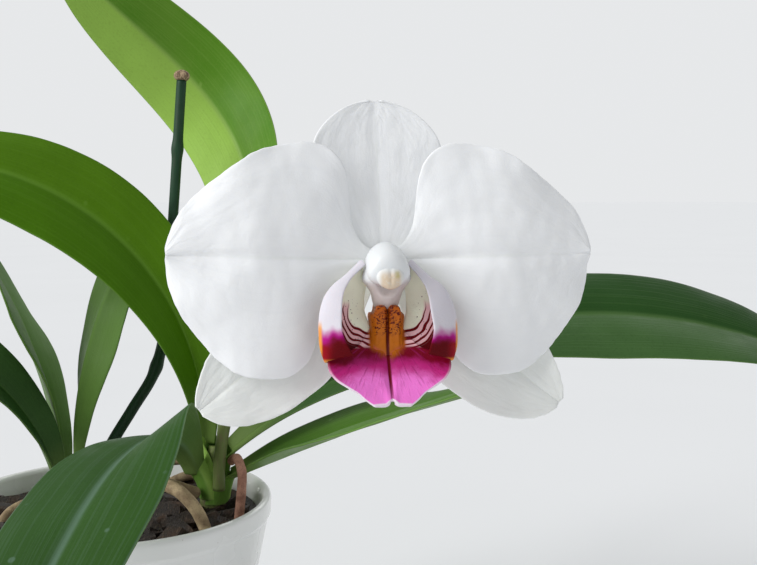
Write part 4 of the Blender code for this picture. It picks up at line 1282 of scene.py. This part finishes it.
@dataclass
class Lip:
    """The lip: two erect side lobes like cupped hands, the mid lobe and the callus between them."""

    root: Sequence[Point] = ((4.4, -5.2, 1.6), (4.9, -8.5, 1.4), (4.9, -11.8, 1.8), (4.1, -14.2, 2.6),
                             (3.8, -16.8, 3.3), (3.9, -19, 4), (4.2, -21, 4.9), (5, -23, 6))
    outer: Sequence[Point] = ((5.7, 0, 3.4), (9.3, -3.6, 4.6), (12.8, -6.4, 5.4), (14.7, -9.3, 6),
                              (15.5, -12.6, 6.4), (15.7, -16.2, 6.8), (15.5, -19.7, 7.4), (14.5, -23, 8.2))
    margin: Sequence[Point] = ((5, -0.6, 5), (8.1, -4.3, 7.4), (9.5, -7.4, 9.2), (9.9, -10.7, 10.4),
                               (10.2, -14.5, 11.2), (10, -17.4, 11.6), (9.2, -19.6, 11.4), (8.4, -21.4, 10.8))
    middle: Sequence[Point] = ((-8.6, 0.5, 2.6), (-12, 1.1, 3.2), (-15.2, 2.2, 3.8), (-17.6, 3.1, 5.4),
                               (-19.6, 4.2, 7.2), (-21.1, 5.2, 11), (-22.7, 6.4, 14.2), (-24.7, 7.9, 14.1),
                               (-26.6, 9.1, 12.9), (-28.3, 10.3, 10.4), (-29.8, 11.3, 7.7), (-31.2, 12.3, 6),
                               (-32.5, 13.3, 4))
    fold_at: float = 0.55
    margin_shift: Pair = (1.1, -0.6)
    callus_ends: Pair = (-10.5, -21.8)
    callus_half: float = 4.3
    callus_height: float = 6.2
    callus_cuts: int = 35

    @cached_property
    def lines(self) -> list[np.ndarray]:
        """Return the side lobe's root, outer and margin lines, row by row."""
        return [smooth_curve(line, 81) for line in (self.root, self.outer, self.margin)]

    @cached_property
    def stations(self) -> np.ndarray:
        """Return the mid lobe's heights, forward places and half widths."""
        return smooth_curve(self.middle, OUTLINE_ROWS)

    def lobe(self, side: float, s: float, t: float) -> Vector:
        """Return a point of a side lobe: from its root out round its back and in to its free margin."""
        fold = self.fold_at
        q = 0.5 * (t + 1.0)
        a, b, c = (along(line, s) for line in self.lines)
        shift = self.margin_shift[0] if side < 0 else self.margin_shift[1]
        c = c + np.array((shift * math.sin(math.pi * s), 0.0, 0.0))
        bow = (b - a * (1.0 - fold) ** 2 - c * fold**2) / (2.0 * fold * (1.0 - fold))
        point = a * (1.0 - q) ** 2 + bow * 2.0 * q * (1.0 - q) + c * q * q
        ruffle = 0.14 * rough(point, 3.4, 2.0 + side)
        return BloomPlace.at(side * (point[0] + ruffle), point[1], point[2] + ruffle)

    def midlobe(self, s: float, t: float) -> Vector:
        """Return a point of the claw and mid lobe, with its groove and its two-lobed tip."""
        v, w, half = along(self.stations, s)
        tip = soft((s - 0.72) / 0.28)
        notch = tip * (1.2 * bell(t, 0.2) - 0.3)
        cup = 1.9 * t * t * soft(s * 2.2) * (1.0 - 0.75 * tip)
        groove = -0.9 * bell(t, 0.09) * soft((s - 0.2) * 3.0)
        ruffle = 0.22 * abs(t) ** 3 * rough((0.0, t, 30.0 * s), 2.6) + 0.1 * rough((half * t, v, 0.0), 2.2)
        return BloomPlace.at(half * t, v + notch, w + cup + groove + ruffle)

    def callus_point(self, x: float, y: float, z: float) -> Vector:
        """Return where a point of a cube from -1 to 1 goes: x across, y up and z forward."""
        s = 0.5 * (1.0 - y)
        out = abs(x) * self.callus_half
        crown = 0.4 * math.sin(math.pi * min(1.0, out / 3.2)) - 1.3 * soft((out - 2.9) / 0.8)
        u = x * (self.callus_half - 0.5 * soft(s * 2.0) - 0.5 * abs(y) ** 8)
        v = between((self.callus_ends[0] + crown, self.callus_ends[1]), s)
        claw = float(np.interp(-v, [-row[0] for row in self.middle], [row[1] for row in self.middle]))
        rise = (self.callus_height - 1.1) * (1.0 - soft(0.06 + 0.94 * s))
        height = 0.3 + 0.8 * soft((1.0 - s) / 0.22) + rise
        ridge = 1.0 - 0.24 * soft((out - 2.9) / 0.7) - 0.3 * bell(u, 0.4) - 0.3 * abs(x) ** 10
        ridge -= 0.22 * (1.0 - min(1.0, s / 0.07)) ** 2
        w = between((claw - 0.6, claw + height * ridge), 0.5 * (z + 1.0))
        return Vector((u, v, w)) + Vector((0.08, 0.1, 0.16)) * rough((u, v, w), 1.0, 6.0)

    def callus(self) -> Object:
        """Return the callus: a waxy, furrowed block with shoulders that runs down into the claw."""
        bm = bmesh.new()
        bmesh.ops.create_cube(bm, size=2.0)
        bmesh.ops.subdivide_edges(bm, edges=bm.edges, cuts=self.callus_cuts, use_grid_fill=True)
        for vert in bm.verts:
            vert.co = self.callus_point(*vert.co)
        bmesh.ops.recalc_face_normals(bm, faces=bm.faces)
        bmesh.ops.transform(bm, matrix=BloomPlace.matrix, verts=bm.verts)
        return to_object(bm, "lip_callus_block", [CallusSkin().material()])

    def build(self) -> None:
        """Build the mid lobe, the side lobes and the callus."""
        middle = Blade("lip_mid_lobe", self.midlobe, (72, 56), 1.3, 0.45)
        dress(middle.build(MidlobeSkin().material()), "lip_magenta", "lip")
        skin = LobeSkin().material()
        for name, side in (("left", -1.0), ("right", 1.0)):
            lobe = Blade("lip_side_lobe_" + name, partial(self.lobe, side), (48, 44), 0.9, 0.6)
            dress(lobe.build(skin), "lip_magenta")
        dress(self.callus(), "callus_orange", "lip_callus")


@dataclass
class Column:
    """The column over the lip, with its foot, its stigma's hollow and its anther cap."""

    path: Sequence[Point] = ((0, 0.2, -1.7), (0, 0, 2), (0, -0.8, 6), (0, -1.9, 9), (0, -2.7, 11.9))
    radii: Sequence[float] = (4.3, 4.7, 4.8, 4.6, 3.8)
    foot: Sequence[Point] = ((0, -1, 4.2), (0, -4, 4), (0, -7, 3.4), (0, -10.4, 2.2))
    foot_radii: Sequence[float] = (4.8, 5.0, 3.7, 2.9)
    stigma: Point = (0.0, -6.4, 8.6)
    stigma_size: float = 2.6
    cap: Point = (0.0, -3.8, 11.4)
    cap_radii: Point = (3.2, 2.5, 1.3)

    def hood(self, share: float, angle: float) -> float:
        """Return the column's radius, rounded off at its end."""
        return along(self.radii, share) * dome((share - 0.86) / 0.14, 0.0064)

    def foot_radius(self, share: float, angle: float) -> float:
        """Return the foot's radius."""
        return along(self.foot_radii, share)

    def column(self) -> Object:
        """Return the column with its foot and the hollow of its stigma."""
        bm = bmesh.new()
        add_rod(bm, smooth_curve(self.path, 40), self.hood, 36)
        add_rod(bm, smooth_curve(self.foot, 24), self.foot_radius, 32)
        centre = Vector(self.stigma)
        for vert in bm.verts:
            off = vert.co - centre
            flat = math.hypot(off.x, off.y)
            if off.length < self.stigma_size and vert.co.z > 3.0:
                vert.co.z = centre.z - math.sqrt(max(0.0, self.stigma_size**2 - flat**2))
            wider = 0.16 * soft(-vert.co.y / 4.0) * soft((vert.co.y + 7.0) / 3.0)
            vert.co.x *= 1.0 + wider - 0.1 * soft(vert.co.y / 4.5)
        bmesh.ops.recalc_face_normals(bm, faces=bm.faces)
        bmesh.ops.transform(bm, matrix=BloomPlace.matrix, verts=bm.verts)
        return to_object(bm, "column_body", [ColumnSkin().material()])

    def anther_cap(self) -> Object:
        """Return the beaked and furrowed anther cap."""
        bm = bmesh.new()
        cap = Vector(self.cap)
        for vert in ball(bm, cap, self.cap_radii, 16):
            off = vert.co - cap
            beak = 0.9 * soft(-off.y / 2.3) * bell(off.x, 1.2)
            furrow = 0.25 * bell(off.x, 0.35) * soft(off.z)
            vert.co += Vector((0.0, -0.25 * beak, 0.3 * beak - furrow))
        bmesh.ops.transform(bm, matrix=BloomPlace.matrix, verts=bm.verts)
        return to_object(bm, "anther_cap_body", [CapSkin().material()])

    def build(self) -> None:
        """Build the column and the cap."""
        dress(self.column(), "petal_white", "column")
        dress(self.anther_cap(), "anther_cream", "anther_cap")


@dataclass
class Pedicel(Stalk):
    """The bloom's own stalk, ribbed, and widening to its seat behind the sepals."""

    node: str = "pedicel"
    path: Sequence[Point] = ((129.6, -196.8, 272.9), (130.6, -205, 275.5), (131, -216, 271), (130, -227, 258),
                             BloomPlace.at(0, 2.6, -12.5), BloomPlace.at(0, 0.6, -8),
                             BloomPlace.at(0, 0, -4.7))
    radii: Sequence[float] = (1.5, 1.5, 1.6, 2.0, 2.6, 3.0)
    sides: ClassVar[int] = 24

    def radius(self, share: float, angle: float) -> float:
        """Return the radius, with six low ribs that grow towards the bloom."""
        return along(self.radii, share) * (1.0 + 0.05 * share * math.cos(6.0 * angle))

    def build(self) -> None:
        """Build the stalk."""
        skin = StalkSkin("pedicel_skin", (0.22, 0.3, 0.1), (0.58, 0.62, 0.46), (0.3, 0.22, 0.16))
        self.grow(skin.material())


# The plant and the studio


@dataclass
class Plant:
    """The whole plant in its pot."""

    stems: Sequence[Stem] = (
        Stem("stem_main", ((46, 12.5, 74), (46.5, 12.8, 96), (47.2, 13.2, 116), (47.8, 13.6, 128),
                           (48, 14, 134)), (6.0, 7.2, 7.0, 6.0, 3.6)),
        Stem("stem_side", ((-20, 13, 78), (-20.5, 13.2, 98), (-21, 13.6, 113), (-21.4, 14, 123)),
             (5.0, 5.6, 5.2, 3.2)))
    roots: Sequence[Root] = (
        Root("root_front", ((40.2, 6, 112), (31, -6, 119), (29, -20, 124), (38, -27, 122), (47, -30, 112),
                            (51, -31, 100), (52, -31, 86)), (3.1, 2.8)),
        Root("root_right", ((55.8, 7, 127.6), (60, 0.6, 131), (62.6, -3.6, 126), (62.4, -5, 114),
                            (61, -5.4, 101), (60, -5.6, 86)), (2.2, 2.4)),
        Root("root_back", ((45, 21.6, 108), (40, 32, 113), (28, 44, 111), (14, 52, 102), (6, 54, 88)),
             (2.6, 2.4)),
        Root("root_left", ((-26.2, 8.2, 104), (-36, 0, 110), (-46, -14, 108), (-48, -26, 98), (-48, -30, 84)),
             (2.5, 2.3)),
        Root("root_free", ((41.6, 17.2, 119), (30, 24, 124), (14, 24, 121), (0, 14, 116), (-4, 0, 113)),
             (2.4, 2.0)))
    main_leaves: Sequence[StrapLeaf] = (
        StrapLeaf("leaf_left_arching", (42.0, 15.1, 134.9), (173, 190), (92, -10), 239, 56, (-65, -42),
                  LeafTone.BRIGHT),
        StrapLeaf("leaf_crown_tall", (51.5, 15.8, 137.2), (11, 251), (83, 29), 304, 54, (-13, -115),
                  LeafTone.SUNLIT, 1.0, 1.1),
        StrapLeaf("leaf_front_low", (39.6, 6.6, 121.5), (262, 258), (74, -47), 212, 62, (38, -9),
                  LeafTone.DUST_AND_SHEEN, 0.5, 2.0),
        StrapLeaf("leaf_right_low", (55.4, 10.4, 119.2), (343, 331), (26, 17), 169, 53, (19, -5),
                  LeafTone.FRESH, 1.0, 0.4),
        StrapLeaf("leaf_right_long", (55.6, 12.6, 131.5), (359, 368), (41, -25), 314, 62, (38, 37),
                  LeafTone.DEEP, 1.0, 3.0))
    side_leaves: Sequence[StrapLeaf] = (
        StrapLeaf("side_leaf_upright", (-21.6, 14.6, 124.0), (215, 243), (89, 134), 131, 36, (-2, -2),
                  LeafTone.FRESH, 1.0, 0.8),
        StrapLeaf("side_leaf_narrow", (-28.6, 19.0, 117.0), (165, 177), (83, 54), 133, 42, (12, 14),
                  LeafTone.FRESH, 1.0, 2.4),
        StrapLeaf("side_leaf_broad", (-27.6, 4.6, 114.0), (208, 196), (80, -9), 168, 50, (-36, -18),
                  LeafTone.DEEP, 1.0, 1.6))

    def build(self) -> None:
        """Build the plant from its pot up."""
        Pot().build()
        BarkBed().build()
        skin = StalkSkin("stem_skin", (0.12, 0.1, 0.05), (0.17, 0.24, 0.06), (0.22, 0.18, 0.1), 0.6)
        bark_green = skin.material()
        for stem in self.stems:
            stem.grow(bark_green)
        tan = RootSkin("root_tan", (0.5, 0.38, 0.22), (0.26, 0.18, 0.1)).material()
        russet = RootSkin("root_russet", (0.5, 0.26, 0.18), (0.27, 0.12, 0.08)).material()
        for root in self.roots:
            root.grow(russet if root.node == "root_right" else tan)
        skins = LeafSkins()
        for stem, leaves in zip(self.stems, (self.main_leaves, self.side_leaves)):
            for leaf in leaves:
                leaf.build(stem, skins)
        Spike().build()
        CutSpike().build()
        Pedicel().build()
        Bloom().build()


@dataclass
class Studio:
    """The pale floor, the soft lights and the camera."""

    camera_place: Point = (0.128, -0.497, 0.256)
    camera_pitch: float = 4.6
    lens: float = 50.0
    sensor: float = 36.0
    floor_half: float = 60000.0
    sky: Colour = (0.97, 0.985, 1.0)
    sky_strength: float = 0.47
    backdrop_strength: float = 0.82
    suns: Sequence[tuple[str, Point, float, float]] = (
        ("key", (-1.0, -0.42, 0.62), 2.3, 40.0),
        ("window", (0.5, 1.0, 0.8), 0.6, 40.0),
    )

    @staticmethod
    def place(name: str, data: bpy.types.ID, location: Point, rotation: Sequence[float]) -> Object:
        """Return a light or camera that stands at a place."""
        holder = bpy.data.objects.new(name, data)
        holder.location = location
        holder.rotation_euler = rotation
        bpy.context.scene.collection.objects.link(holder)
        return holder

    def sun(self, name: str, source: Point, power: float, spread: float) -> None:
        """Add one soft, even light that comes from a direction."""
        lamp = bpy.data.lights.new(name, "SUN")
        lamp.energy = power
        lamp.angle = math.radians(spread)
        self.place(name, lamp, source, Vector(source).to_track_quat("Z", "Y").to_euler())

    def floor(self) -> None:
        """Lay the floor under the pot."""
        bm = bmesh.new()
        bmesh.ops.create_grid(bm, x_segments=1, y_segments=1, size=self.floor_half)
        to_object(bm, "floor", [FloorFinish().material()])

    def world(self) -> bpy.types.World:
        """Return an even sky that shows as a brighter, plain backdrop."""
        world = bpy.data.worlds.new("studio")
        world.use_nodes = True
        nodes, links = world.node_tree.nodes, world.node_tree.links
        sky, backdrop = nodes["Background"], nodes.new("ShaderNodeBackground")
        for shader, strength in ((sky, self.sky_strength), (backdrop, self.backdrop_strength)):
            shader.inputs[0].default_value = (*self.sky, 1.0)
            shader.inputs[1].default_value = strength
        seen = nodes.new("ShaderNodeMixShader")
        links.new(nodes.new("ShaderNodeLightPath").outputs["Is Camera Ray"], seen.inputs[0])
        links.new(sky.outputs[0], seen.inputs[1])
        links.new(backdrop.outputs[0], seen.inputs[2])
        links.new(seen.outputs[0], nodes["World Output"].inputs[0])
        return world

    def camera(self) -> None:
        """Set the camera where the photograph was taken from."""
        lens = bpy.data.cameras.new("camera")
        lens.lens = self.lens
        lens.sensor_width = self.sensor
        turn = (math.radians(90.0 - self.camera_pitch), 0.0, 0.0)
        bpy.context.scene.camera = self.place("camera", lens, self.camera_place, turn)

    def build(self) -> None:
        """Set up the floor, lights, sky and camera."""
        self.floor()
        for sun in self.suns:
            self.sun(*sun)
        bpy.context.scene.world = self.world()
        bpy.context.scene.view_settings.view_transform = "Standard"
        self.camera()


def main() -> None:
    """Build the studio and the plant in order."""
    logging.basicConfig(level=logging.INFO, format="%(name)s: %(message)s")
    Studio().build()
    Plant().build()


if __name__ == "__main__":
    main()
